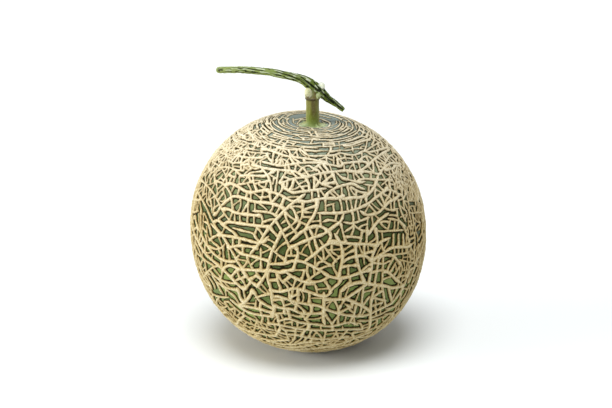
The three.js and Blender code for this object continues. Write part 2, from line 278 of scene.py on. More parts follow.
BRANCH_CORDS = [
    [(299, 171.5), (302, 168), (306, 165.5), (311, 166), (316.5, 171)],
    [(313.5, 168.5), (321, 163)],
    [(275, 151), (279.5, 147), (287, 153)],
    [(275, 163), (278, 160), (282, 158.5), (286, 160), (289, 163.5)],
    [(360, 160.5), (363, 157), (368, 155.5), (374, 160)],
    [(368, 138), (366.5, 146), (364.5, 150.5)],
    [(366, 150.5), (374, 145), (382, 141)],
    [(214, 181.5), (213.5, 175), (213.5, 167)],
    [(223, 180), (230, 172), (234, 169), (238, 173), (244, 177)],
    [(240, 148.5), (251, 151.5), (270, 153)],
    [(283, 183), (282, 189), (276, 197), (271, 203)],
    [(313.5, 176), (320, 182), (326, 185), (333, 187)],
    [(306, 178), (309, 184), (309.5, 191)],
    [(303, 202), (302.5, 215), (300, 220.5)],
    [(268, 191), (279, 194), (291, 200.5), (297, 201)],
    [(252, 211), (263, 211.5), (271, 213), (278, 216.5)],
    [(284.5, 212), (292.5, 218.5), (302, 223), (308, 225.5)],
    [(285, 214), (287, 220.5), (292, 228), (297, 234)],
    [(296.5, 220.5), (292, 225), (283, 231)],
    [(275.5, 221), (281, 230), (286, 240), (289.5, 248)],
    [(323, 222), (329, 220), (338, 221.5)],
    [(343.5, 222), (354, 223), (370, 217.5)],
    [(341, 223), (344, 235), (346.5, 243)],
    [(345, 232), (352, 227.5), (355, 225)],
    [(200.5, 180), (211, 191), (217, 201), (223.5, 213.5), (229, 221)],
    [(196.5, 192), (204.5, 206), (211, 220), (219.5, 235)],
    [(214, 181), (222, 183), (229, 192), (231, 202), (232, 211)],
    [(220, 223.5), (228, 229.5), (233, 233), (237, 238)],
    [(232, 228), (242, 231), (252, 233.5), (256, 239), (260, 243)],
    [(377, 199), (385, 207.5), (393, 210), (399, 208.5)],
    [(389, 218.5), (399, 220.5), (407, 227)],
    [(352, 210), (354, 217), (354.5, 225), (363, 230.5), (370, 231)],
    [(374, 228.5), (381, 231.5), (390, 231), (404, 230)],
    [(358, 181), (364, 178.5), (376, 179), (390, 179.5)],
    [(343, 177.5), (350, 179.5), (360, 182), (366, 181)],
    [(390, 176), (391, 187.5), (398, 193)],
    [(376, 182), (384.5, 190.5)],
    [(399, 199), (402, 211), (407, 222)],
    [(352, 187), (360, 191.5), (369, 193)],
    # lower middle band
    [(290, 247.5), (287, 253), (285, 263)],
    [(262, 244.5), (268, 247), (279, 256), (285, 260)],
    [(309, 240), (309.5, 246), (313, 256)],
    [(304.5, 231), (308.5, 241)],
    [(319.5, 240), (326, 249), (336.5, 262)],
    [(317, 255), (324, 261.5), (331, 266)],
    [(342, 256), (335, 262), (333.5, 267), (338.5, 277)],
    [(315.5, 267), (319, 263), (324, 261.5)],
    [(319, 270), (326, 267), (334, 266)],
    [(320, 272), (311.5, 278), (306, 282), (303.5, 290)],
    [(308, 265), (307, 272), (309, 279)],
    [(310, 283), (321, 281.5), (329, 277.5)],
    [(309, 280.5), (315, 285), (317.5, 294)],
    [(325, 281), (330.5, 290)],
    [(350, 283.5), (342, 290), (340, 300)],
    [(276.5, 273), (278, 283), (280, 288), (280, 292)],
    [(277.5, 274), (281, 281), (287.5, 287.5), (290, 299)],
    [(296, 279.5), (293, 288), (291.5, 298)],
    [(269, 281), (277, 280.5)],
    [(363, 231), (360.5, 244)],
    [(368, 231), (367, 244)],
    [(365, 245), (364.5, 256.5)],
    [(382, 242), (383.5, 249), (386, 252)],
    [(373, 263), (384, 264), (391, 261)],
    [(384, 256), (383.5, 270), (383, 281), (382, 286)],
    [(372, 273), (384, 270)],
    [(388, 272), (390, 266), (395, 257)],
    [(391, 273), (397, 262)],
    [(394, 277), (401, 266)],
    [(350.5, 277), (350.7, 285)],
    [(348.5, 266), (349, 278)],
    [(341, 267.5), (350, 266), (358, 265.5)],
    [(343, 256.5), (351, 252), (356, 250)],
    [(362, 273), (366, 268), (372, 264)],
    [(346, 237), (354, 237), (363, 238.5)],
    [(394.5, 234), (394, 247)],
    [(399.5, 234), (399.5, 246.5)],
    [(404, 234), (404.5, 246.5)],
    [(408, 234), (411, 246), (416, 256)],
    [(208, 247), (216, 249.5), (222, 247), (224.5, 243.5)],
    [(205, 235), (207, 247), (210, 250)],
    [(203, 277), (210, 269), (216, 266.5), (219, 267)],
    [(220.5, 260), (221.5, 271), (219.5, 281)],
    [(209, 271), (218, 279.5), (230, 283.5), (236, 283.5)],
    [(218, 279), (224.5, 287.5), (237, 291)],
    [(239, 255), (234, 260.5)],
    [(236.5, 271), (239, 279)],
    [(235, 281), (239, 279), (245, 277)],
    [(249.5, 280), (256, 275.5), (255.5, 271)],
    [(256, 275.5), (262, 281)],
    [(250.5, 282), (244.5, 289.5)],
    [(241, 279), (246, 288)],
    [(232.3, 237.5), (232.3, 246.5)],
    [(239, 238.5), (238.5, 246)],
    [(242.3, 247), (242, 254.5)],
    [(260.3, 248.5), (260.5, 271)],
    [(246.5, 256), (248, 262), (252.5, 270)],
    [(246.5, 262.5), (242, 269)],
    # bottom band
    [(273, 300.5), (285, 300)],
    [(273, 314.5), (285, 314), (297, 317), (303, 317)],
    [(297, 302.5), (295, 311)],
    [(281.5, 299.5), (284, 307), (284, 314)],
    [(287.5, 309.5), (290, 319)],
    [(301, 313.5), (309.5, 325)],
    [(309.5, 314.5), (305.5, 320)],
    [(311.7, 305.5), (311.5, 314)],
    [(325, 315), (332, 325), (333, 331)],
    [(340.5, 314), (334.5, 321.5), (332, 325)],
    [(338.3, 318), (338.5, 326)],
    [(296, 329), (294.5, 340)],
    [(311.5, 330.5), (309, 338)],
    [(326, 331.5), (323.5, 343)],
    [(281.5, 328.5), (286, 333), (289, 342)],
    [(298, 290), (298, 302)],
    [(309.5, 293), (309.3, 305)],
    [(290, 297), (299, 295)],
    [(334.5, 300), (338.5, 309), (339, 314)],
    [(345.5, 299.5), (339.5, 309)],
    [(352, 307), (341, 313)],
    [(345, 304.5), (351, 308)],
    [(353, 303), (352.5, 309)],
    [(357, 305), (355, 313), (353, 318), (349, 325)],
    [(364, 286), (363, 297), (362, 306)],
    [(370, 297), (363.5, 306)],
    [(354.5, 318), (355, 326)],
    [(383, 286), (385, 299), (386.5, 307)],
    [(373, 298), (379, 299.5), (387, 301)],
    [(374, 297), (383, 291)],
    [(389.5, 288), (392.5, 302)],
    [(371, 318.5), (383, 314), (393, 308)],
    [(358, 321.5), (371, 321), (388, 316)],
    [(354, 333.5), (368, 331), (385, 325)],
    [(254, 298.5), (270, 294)],
    [(229, 303.5), (240, 313), (252, 320), (271, 327)],
    # lower left
    [(193, 246), (197.4, 254.5), (202.5, 258.5), (204.4, 264), (205.5, 271), (209.5, 275.5)],
    [(205, 273), (209.5, 279.5), (213, 284.5), (214.5, 289)],
    [(211, 275), (216, 283), (219, 289.5), (222.5, 295)],
    [(217, 283), (223.2, 287.6), (228, 292), (234, 297)],
    [(197, 257), (200, 266), (204, 274), (208, 282), (211.5, 290)],
    [(194, 218), (196.5, 226), (199.5, 233)],
    [(203, 221.5), (207, 223.8), (209, 229), (210.5, 236)],
    [(208.5, 240.3), (212, 237.5), (216, 235.5), (219.5, 233.5)],
    [(209, 239), (212.5, 243), (216.5, 246), (219, 249.3)],
    # lower right
    [(390, 256), (396, 255), (402, 254), (406, 253.5), (409, 252)],
    [(399.7, 259.7), (404.4, 260.9), (411.5, 262.6), (416.2, 263.2)],
    [(412, 251), (411.5, 257), (411.5, 262.5)],
    [(415.3, 247), (415.2, 253), (415, 260), (414, 263)],
    [(419.7, 245), (419.5, 253), (418.5, 260), (417, 265)],
    [(413, 263.5), (410.5, 267), (408.5, 273), (407, 277)],
    [(416, 263), (415.5, 268), (413, 274), (411.5, 278.5), (409, 283)],
    [(423, 257), (419.5, 266), (418, 270), (415.5, 276), (413, 283), (410, 289)],
    [(401, 262), (403, 268), (402.5, 272), (400, 277)],
    [(396.5, 279), (400, 277), (404.5, 276), (408, 275.8)],
    [(410, 285), (407.5, 291), (404.5, 297), (401.5, 300)],
    [(401, 292), (401.5, 297), (399, 302), (396, 306)],
    [(385, 286.5), (391, 287.5), (396, 288.5), (401, 287)],
    [(386, 309.5), (391, 308.8), (396, 306.8), (400, 303)],
    [(385, 315), (392, 314), (396.5, 311.5), (400, 308.5)],
    # upper left
    [(211, 161), (215.5, 163.7), (220, 167), (223.5, 172), (225.5, 177.4), (226, 183)],
    [(220, 167), (226, 166.5), (231, 167.5), (236, 169.5), (243, 170)],
    [(210.5, 163.5), (213, 161), (216, 159.3), (220.3, 158.2), (224, 156), (229, 154.8), (233, 153.5),
     (238, 155)],
    [(216, 154.5), (218.2, 151), (222.4, 150), (225.5, 147.5), (229.2, 146.8), (233.4, 146.3),
     (236.6, 144.7)],
    [(228.3, 159.5), (230, 161.5), (233.4, 162.6), (237.6, 162), (243, 162.5)],
    [(238, 139.5), (243, 140.5), (248, 142.5), (253, 143.5), (258, 145.5)],
    [(236, 146), (241, 147.5), (247, 147.5), (252, 148.5), (258, 149.5)],
    [(243, 137), (248, 139.5), (255, 139.3), (262, 140.5)],
    [(262, 145.5), (268, 148.3), (275, 148.8), (280.5, 145.8), (284, 147.8), (290, 149.2), (297, 148.8),
     (303, 147), (311, 146.8), (318, 147.5)],
    # right side
    [(385, 171.5), (388.5, 174), (392.5, 174), (395.5, 172.8), (397.3, 170), (397.6, 165)],
    [(391, 183.5), (395.3, 184.2), (399, 181.5), (402.5, 181.5), (405.5, 182.5), (408.5, 185)],
    [(385, 189.5), (390, 189.5), (395, 191), (399, 193.5), (403, 194.8)],
    [(400.8, 165), (401.5, 170), (401.8, 174), (401, 177.5)],
    [(403.5, 165), (405, 171), (405, 176), (407.5, 181), (409, 186)],
    [(406, 165.5), (408.5, 172), (409.5, 178), (412, 184), (413.5, 190), (414.5, 193)],
    [(402.5, 182), (403.8, 187), (403, 191), (403.5, 196), (404.5, 201)],
    [(408, 186.5), (407.8, 191), (408, 196), (409, 201), (410, 205)],
    [(411, 186), (412.5, 191), (414, 195.5), (416, 200.5), (417, 206)],
    [(405, 201), (407, 205), (408.7, 208.7), (411.3, 212.4), (414.5, 213), (418.7, 212.4), (422, 212.5)],
    [(401.8, 205.5), (404, 208.5), (407.5, 211.5), (407, 216.5), (405.5, 221)],
    [(401, 221.5), (404.5, 226.5), (406.5, 231), (408.5, 236), (410.5, 241)],
    [(413, 213.5), (414, 218), (414.5, 222.5), (416.3, 227), (416.8, 232)],
    [(418.5, 201), (419, 206), (419, 212)],
    [(422.5, 212.5), (423.5, 220), (423, 229), (423.5, 236)],
    [(384.5, 165), (387, 160.5), (390, 156), (394.5, 153.5)],
    [(224, 303), (234, 314.5), (246, 322.5), (259, 327.5), (274, 331)],
    [(255.5, 300), (255, 308)],
]


RUNG_CORDS = [
    [(304, 212), (313, 212.6)],
    [(320, 213), (320.5, 220), (321, 226)],
    [(325.5, 199), (326.2, 212)],
    [(327, 205.5), (335, 203)],
    [(340, 198), (342, 205), (342.5, 212)],
    [(346.5, 199), (348.5, 211)],
    [(312, 191), (312.3, 199)],
    [(318, 189), (319.3, 198)],
    [(341.8, 186), (342.6, 195)],
    [(347.7, 185), (350.3, 197)],
    [(350.5, 198), (353, 210)],
    [(368.5, 217), (367.7, 231)],
    [(372.5, 214), (374, 228)],
    [(280.5, 224), (286, 220)],
    [(339.7, 229), (336.5, 235)],
    [(389, 179), (382, 185)],
    [(364, 184), (374.5, 185.4)],
    [(238.5, 188), (236.5, 196)],
    [(233.5, 185), (230.5, 192)],
    [(247, 191.5), (245, 198)],
    [(250.3, 192), (250, 200)],
    [(263, 189), (260.3, 202)],
    [(247.7, 199.5), (247.2, 215)],
    [(246.5, 204), (241.5, 213)],
    [(239.5, 197), (239.7, 206), (236.5, 213)],
    [(254.5, 201), (254.3, 211)],
    [(259, 203), (267, 210)],
    [(233.8, 212), (234, 223)],
    [(239, 214), (239.3, 223)],
    [(247, 215), (246.5, 224)],
    [(253.5, 215), (253.3, 226)],
    [(260.5, 215), (262, 220), (261.7, 226)],
    [(257, 226), (254, 235)],
    [(294, 270.7), (307, 270.5)],
    [(314, 267.5), (315, 275.5)],
    [(305, 284.5), (314, 285)],
    [(317.5, 290), (329, 289)],
    [(298, 253), (308.5, 257)],
    [(287, 256), (297, 256.3)],
    [(290.7, 248), (291.3, 256)],
    [(332, 244), (332, 252)],
    [(329, 250.5), (342, 249.5)],
    [(324, 261.5), (330, 255)],
    [(315, 255), (315.5, 266)],
    [(333, 253), (341, 258)],
    [(344, 250.5), (352, 245)],
    [(364.3, 256), (365, 265)],
    [(370, 243.5), (377, 238.5)],
    [(311, 298.7), (323, 298.7)],
    [(380, 308.5), (384, 300.5)],
    [(376.5, 311), (377, 316)],
    [(326, 304), (333, 301)],
    [(343, 327), (343, 331)],
    [(292, 321), (292, 327)],
    [(297.5, 323), (297.5, 329)],
    [(321, 325), (321, 331)],
    [(333, 300), (326, 310)],
    # lower left
    [(197.8, 213), (198, 222), (199, 228), (201, 234)],
    [(202.5, 214), (202.2, 222), (201.5, 228), (200.8, 233)],
    [(206, 226), (206, 233), (208.5, 240)],
    [(218, 250.5), (219.5, 253.5), (217.5, 257)],
    [(222.5, 247.5), (222.5, 254), (223, 259.5)],
    [(226.5, 245), (228, 254), (229, 262)],
    [(219, 257), (220, 262), (219.5, 267)],
    [(226, 261), (224.5, 265), (224, 268.5)],
    [(213.5, 252), (211.5, 256), (210.5, 259.5)],
    [(223, 282), (229, 288), (236, 290)],
    # lower right
    [(395.4, 247.5), (395.3, 254.5)],
    [(399.5, 247.3), (399.4, 254)],
    [(403.3, 247), (403.2, 253.5)],
    [(407, 247), (407, 253)],
    [(411.5, 245), (411, 250.5), (409, 253)],
    [(409, 252.5), (408.5, 258), (408.5, 262)],
    [(404, 254), (404, 258), (403, 261)],
    [(404.5, 262), (405.5, 267), (404.5, 271)],
    [(402.8, 271), (406, 270.5), (409, 270)],
    [(400.5, 266), (400.5, 272), (398.5, 278)],
    [(404, 276), (402.5, 282), (401.5, 286)],
    [(400, 277.5), (399.5, 283), (398.5, 288)],
    [(411, 288), (409, 294), (405.5, 299.5), (402, 305)],
    # upper left
    [(235.5, 171), (234.8, 176), (232, 182.5)],
    [(215, 175.5), (218, 173.5), (220.5, 171)],
    [(216, 181), (219.5, 177.5), (222.5, 174)],
    [(208.5, 173), (209, 179), (209.5, 184)],
    [(204, 173), (204.5, 178), (205, 184)],
    [(204, 185), (209.5, 183.8), (214.5, 181.5)],
    [(215, 182), (216, 187), (216.5, 192), (216, 196)],
    [(216.5, 188.5), (219.5, 186.5), (222, 183.5)],
    [(216.3, 195.3), (218.7, 191.6), (222, 188.2), (225, 186)],
    [(221.8, 188.5), (223.4, 193.2), (224.6, 196.3), (225, 199.5)],
    [(219.5, 200.8), (222, 201.2), (225, 199)],
    [(205.8, 199.8), (210.8, 197.9), (213.4, 195.8), (215.5, 195)],
    [(209.2, 199), (210, 203), (211, 207), (211.3, 213)],
    [(205.5, 186), (205.6, 193), (205.9, 200)],
    [(201.5, 184), (201.4, 190), (201.3, 196)],
    [(198.2, 196.5), (198.8, 203), (200, 209), (201, 215)],
    [(213.4, 196.5), (213.5, 204), (212.6, 211), (213.5, 216)],
    [(220, 167), (221.5, 164), (224.5, 160.8), (228.3, 159.3), (229.8, 156.5), (231, 154)],
    [(224.5, 160.8), (224.6, 163.5), (225, 166.8)],
    [(227.8, 159.5), (228, 163), (228.6, 167)],
    [(228.7, 154.8), (229, 151), (229.6, 147)],
    [(233.5, 153.5), (234, 150), (233.4, 146.3)],
    [(237, 154.5), (238, 158), (238, 162)],
    [(299.4, 149.1), (301.7, 153), (306.7, 156.3)],
    [(303.3, 147), (305, 151), (307.8, 154.1), (309.4, 157.5)],
    # upper right
    [(344.7, 154), (346.9, 160.5)],
    [(352.4, 154.5), (353.6, 160)],
    [(353.6, 162.5), (356.3, 171)],
    [(359, 161.5), (361.3, 170)],
    [(339, 141.5), (340.2, 147.5)],
    [(362.4, 152.4), (362.4, 160)],
    [(352.4, 145.5), (353.6, 152)],
    [(326.3, 155), (326.9, 161.8)],
    [(334, 155), (334, 164)],
    [(345, 147.5), (352, 145.8), (358, 144.5), (364.5, 142)],
    [(340, 149.5), (348, 149.8), (355, 148.2), (364, 148)],
    [(378, 150.5), (382.4, 148.4), (386, 146)],
    # right side
    [(393.3, 174.5), (395.5, 178.5), (398.5, 182.2)],
    [(398, 172.5), (399.6, 177), (400.3, 181.5)],
    [(401, 177.5), (404.5, 177.8), (407.5, 181)],
    [(398.8, 182), (397.8, 187), (397.6, 193)],
    [(408, 192), (411, 191.5), (414, 193)],
    [(410, 200.5), (414, 200.8), (418, 201), (420.5, 203)],
    [(391.2, 200), (392.3, 209.5)],
    [(395, 199), (395.3, 209.5)],
    [(409.3, 206.5), (412.5, 206), (416.5, 206)],
    [(414.5, 206), (415.2, 209), (415.8, 213)],
    [(389.5, 215.2), (393.5, 215), (398, 215.8)],
    [(398, 210), (398.5, 216), (400, 220.5)],
    [(401, 217.5), (403.5, 216), (406.5, 214.5)],
    [(391, 220), (390, 225), (388.5, 230.5)],
    [(395.7, 220), (395.3, 230.5)],
    [(399.3, 220.5), (399, 226), (398.5, 230.5)],
    [(408.5, 214), (409.3, 219), (409.5, 223), (411, 229)],
    [(409.5, 226.5), (413, 225.5), (416, 224.5)],
    [(417, 213), (417, 220), (415.5, 225)],
    [(419.5, 213), (421, 222), (421, 228), (419, 231)],
    [(411, 234.5), (414, 233.5), (417, 232)],
    [(411, 226), (411.7, 231), (412, 235)],
    [(416.8, 232), (418.8, 237), (418.5, 243)],
]

# Where the net is finest: a place on that front view and the patch's radius in millimetres.
FINE_PATCHES = [((225, 155), 22.0), ((255, 145), 15.0), ((205, 190), 14.0), ((408, 262), 17.0),
                ((205, 285), 14.0), ((395, 320), 12.0), ((405, 180), 20.0), ((415, 215), 20.0)]
# Bare skin beside the stalk.
BARE_PATCHES = [((298.5, 119.5), 4.5), ((291, 121.5), 2.5), ((331.5, 121), 3.5), ((325, 117.5), 2.5)]


# ---------------------------------------------------------------- small vector helpers

def unit(v):
    size = math.sqrt(v[0] * v[0] + v[1] * v[1] + v[2] * v[2])
    return (v[0] / size, v[1] / size, v[2] / size)


def cross(a, b):
    return (a[1] * b[2] - a[2] * b[1], a[2] * b[0] - a[0] * b[2], a[0] * b[1] - a[1] * b[0])


def dot(a, b):
    return a[0] * b[0] + a[1] * b[1] + a[2] * b[2]


def turned(v, axis, angle):
    """v turned about a unit axis that is square to it."""
    side = cross(axis, v)
    c, s = math.cos(angle), math.sin(angle)
    return (v[0] * c + side[0] * s, v[1] * c + side[1] * s, v[2] * c + side[2] * s)


def normalised(rows):
    return rows / np.linalg.norm(rows, axis=1)[:, None]


def clamped(values):
    return np.clip(values, 0, 1)


STALK_DIRECTION = unit((STALK_X - LEAN * (WIDEST_LEVEL + CROWN_RISE), 0.0, CROWN_RISE))


def lattice_noise(points, cell, seed):
    """Smooth random values between 0 and 1 that change over about one cell."""
    table = np.random.default_rng(seed).random((32, 32, 32))
    place = points / cell
    low = np.floor(place).astype(int)
    part = place - low
    part = part * part * (3 - 2 * part)
    total = np.zeros(len(points))
    for corner in range(8):
        step = np.array([corner & 1, corner >> 1 & 1, corner >> 2 & 1])
        weight = np.where(step == 1, part, 1 - part).prod(1)
        x, y, z = ((low + step) % 32).T
        total += weight * table[x, y, z]
    return total


# ---------------------------------------------------------------- the fruit's shape

def fruit_points(directions):
    """Where rays from the middle of the fruit meet its outside."""
    level = np.hypot(directions[:, 0], directions[:, 1])
    reach = np.where(directions[:, 2] > 0, CROWN_RISE, BASE_DROP)
    size = ((level / HALF_WIDTH) ** SQUARENESS
            + (np.abs(directions[:, 2]) / reach) ** SQUARENESS) ** (-1 / SQUARENESS)
    points = directions * size[:, None]
    around = np.arctan2(points[:, 1], points[:, 0])
    fullness = level * size / HALF_WIDTH
    groove = LOBE_DEPTH * (1 - np.cos(LOBES * around)) / 2 * fullness ** 4
    points[:, :2] *= (1 - groove / HALF_WIDTH)[:, None]
    points[:, 2] *= np.where(points[:, 2] > 0, 1 + CROWN_TILT * points[:, 1] / CROWN_RISE, 1)
    points[:, 2] += WIDEST_LEVEL
    points[:, 0] += LEAN * points[:, 2]
    away = np.hypot(points[:, 0] - STALK_X, points[:, 1]) / DIMPLE_RADIUS
    points[:, 2] -= np.where(directions[:, 2] > 0, DIMPLE_DEPTH * np.exp(-away ** 2), 0)
    return points


def fruit_normals(directions):
    """Outward normals of that surface, from four nearby rays."""
    reference = np.where(np.abs(directions[:, 2:]) < 0.9, [[0.0, 0.0, 1.0]], [[1.0, 0.0, 0.0]])
    side = normalised(np.cross(reference, directions))
    up = np.cross(directions, side)
    nudge = 0.004
    across = (fruit_points(normalised(directions + side * nudge))
              - fruit_points(normalised(directions - side * nudge)))
    along = (fruit_points(normalised(directions + up * nudge))
             - fruit_points(normalised(directions - up * nudge)))
    return normalised(np.cross(across, along))


def rays_through(points):
    """The directions whose rays pass through points near the fruit's surface."""
    away = np.hypot(points[:, 0] - STALK_X, points[:, 1]) / DIMPLE_RADIUS
    height = points[:, 2] + np.where(points[:, 2] > WIDEST_LEVEL, DIMPLE_DEPTH * np.exp(-away ** 2), 0)
    rise = height - WIDEST_LEVEL
    upright = rise / np.where(rise > 0, 1 + CROWN_TILT * points[:, 1] / CROWN_RISE, 1)
    return np.stack([points[:, 0] - LEAN * height, points[:, 1], upright], 1)


def places_seen_at(pixels):
    """Directions from the middle of the fruit to the places seen at pixels of the front view."""
    tilt = math.radians(CAMERA_ELEVATION)
    forward = np.array([0.0, math.cos(tilt), -math.sin(tilt)])
    upward = np.array([0.0, math.sin(tilt), math.cos(tilt)])
    focal = CAMERA_LENS / SENSOR_WIDTH * VIEW_WIDTH
    right = np.asarray(pixels)[:, 0] - VIEW_WIDTH * (0.5 - CAMERA_SHIFT[0])
    down = np.asarray(pixels)[:, 1] - VIEW_HEIGHT / 2 - VIEW_WIDTH * CAMERA_SHIFT[1]
    rays = normalised(forward * focal + np.outer(right, [1.0, 0.0, 0.0]) - np.outer(down, upward))
    middle = np.array([LEAN * WIDEST_LEVEL, 0.0, WIDEST_LEVEL])
    start = -forward * CAMERA_DISTANCE
    ahead = -(rays @ start)
    off_axis = start @ start - ahead ** 2
    radius = np.full(len(rays), HALF_WIDTH)
    for _ in range(6):
        reach = ahead - np.sqrt(np.maximum(radius ** 2 - off_axis, 0))
        seen = start + rays * reach[:, None]
        directions = normalised(rays_through(middle + seen))
        radius = np.linalg.norm(fruit_points(directions) - middle, axis=1)
    return directions


def stalk_angle(directions):
    """Degrees between directions and the stalk."""
    return np.degrees(np.arccos(np.clip(directions @ np.array(STALK_DIRECTION), -1, 1)))


def skin_inset(directions):
    """How far the skin lies below the crests of the net."""
    return np.interp(stalk_angle(directions), *SKIN_INSET)


def crest_share(points):
    """How far up from the skin to the crests points lie, from 0 to 1."""
    rays = rays_through(points)
    directions = normalised(rays)
    surface = rays_through(fruit_points(directions))
    lift = np.linalg.norm(rays, axis=1) - np.linalg.norm(surface, axis=1)
    slant = (directions * fruit_normals(directions)).sum(1)
    return clamped(lift * slant / skin_inset(directions) + 1)


class Ball:
    """A cube grid blown up to a ball: directions, outward quads and each cube face's grid of corners."""
    ALL_SIDES = [(axis, far) for axis in range(3) for far in (False, True)]
    TOP_SIDE = [(2, True)]
    NOTHING_NEAR = -9.0
    FACE_DEPTH = 0.4           # samples shallower than this over a cube face can't reach it
    SHORTEST_STEP = 0.68       # a little less than the share that grid steps shrink to at the cube's edges

    def __init__(self, steps, sides=ALL_SIDES):
        self.steps = steps
        self.sides = sides
        line = np.arange(steps + 1)
        grids = []
        for axis, far in sides:
            others = [a for a in range(3) if a != axis]
            lattice = np.empty((steps + 1, steps + 1, 3), int)
            lattice[..., axis] = steps if far else 0
            lattice[..., others[0]], lattice[..., others[1]] = np.meshgrid(line, line, indexing="ij")
            grids.append(lattice)
        strides = np.array([(steps + 1) ** 2, steps + 1, 1])
        keys = np.array([grid @ strides for grid in grids])
        found, where = np.unique(keys, return_inverse=True)
        self.faces = where.reshape(keys.shape)
        corners = np.stack([found // strides[0], found // strides[1] % (steps + 1), found % (steps + 1)], 1)
        self.directions = normalised(np.tan((2 * corners / steps - 1) * math.pi / 4))
        quads = []
        for grid, (axis, far) in zip(self.faces, sides):
            rows = np.stack([grid[:-1, :-1], grid[1:, :-1], grid[1:, 1:], grid[:-1, 1:]], 2).reshape(-1, 4)
            quads.append(rows if far == (axis != 1) else rows[:, ::-1])
        self.quads = np.concatenate(quads)

    def spread(self, samples, half_widths, reliefs, reach_share, profile):
        """The highest profile that the samples give each corner of the ball."""
        best = np.full(len(self.directions), self.NOTHING_NEAR)
        spots = self.directions * HALF_WIDTH
        pitch = HALF_WIDTH * math.pi / 2 / self.steps
        window = math.ceil(half_widths.max() * reach_share / (pitch * self.SHORTEST_STEP))
        offsets = range(-window, window + 1)
        for grid, (axis, far) in zip(self.faces, self.sides):
            others = [a for a in range(3) if a != axis]
            depth = samples[:, axis] * (1 if far else -1)
            ahead = depth > HALF_WIDTH * self.FACE_DEPTH
            held = samples[ahead]
            places = np.arctan(held[:, others] / depth[ahead][:, None]) * 4 / math.pi
            index = np.rint((places + 1) / 2 * self.steps).astype(int)
            inside = ((index >= -window) & (index <= self.steps + window)).all(1)
            held, index = held[inside], index[inside]
            half, relief = half_widths[ahead][inside], reliefs[ahead][inside]
            for i in offsets:
                for j in offsets:
                    a, b = index[:, 0] + i, index[:, 1] + j
                    fits = (a >= 0) & (a <= self.steps) & (b >= 0) & (b <= self.steps)
                    spot = grid[a[fits], b[fits]]
                    away = np.linalg.norm(spots[spot] - held[fits], axis=1) / half[fits]
                    near = away < reach_share
                    np.maximum.at(best, spot[near], profile(away[near], relief[fits][near]))
        return best


# ---------------------------------------------------------------- the net's growth

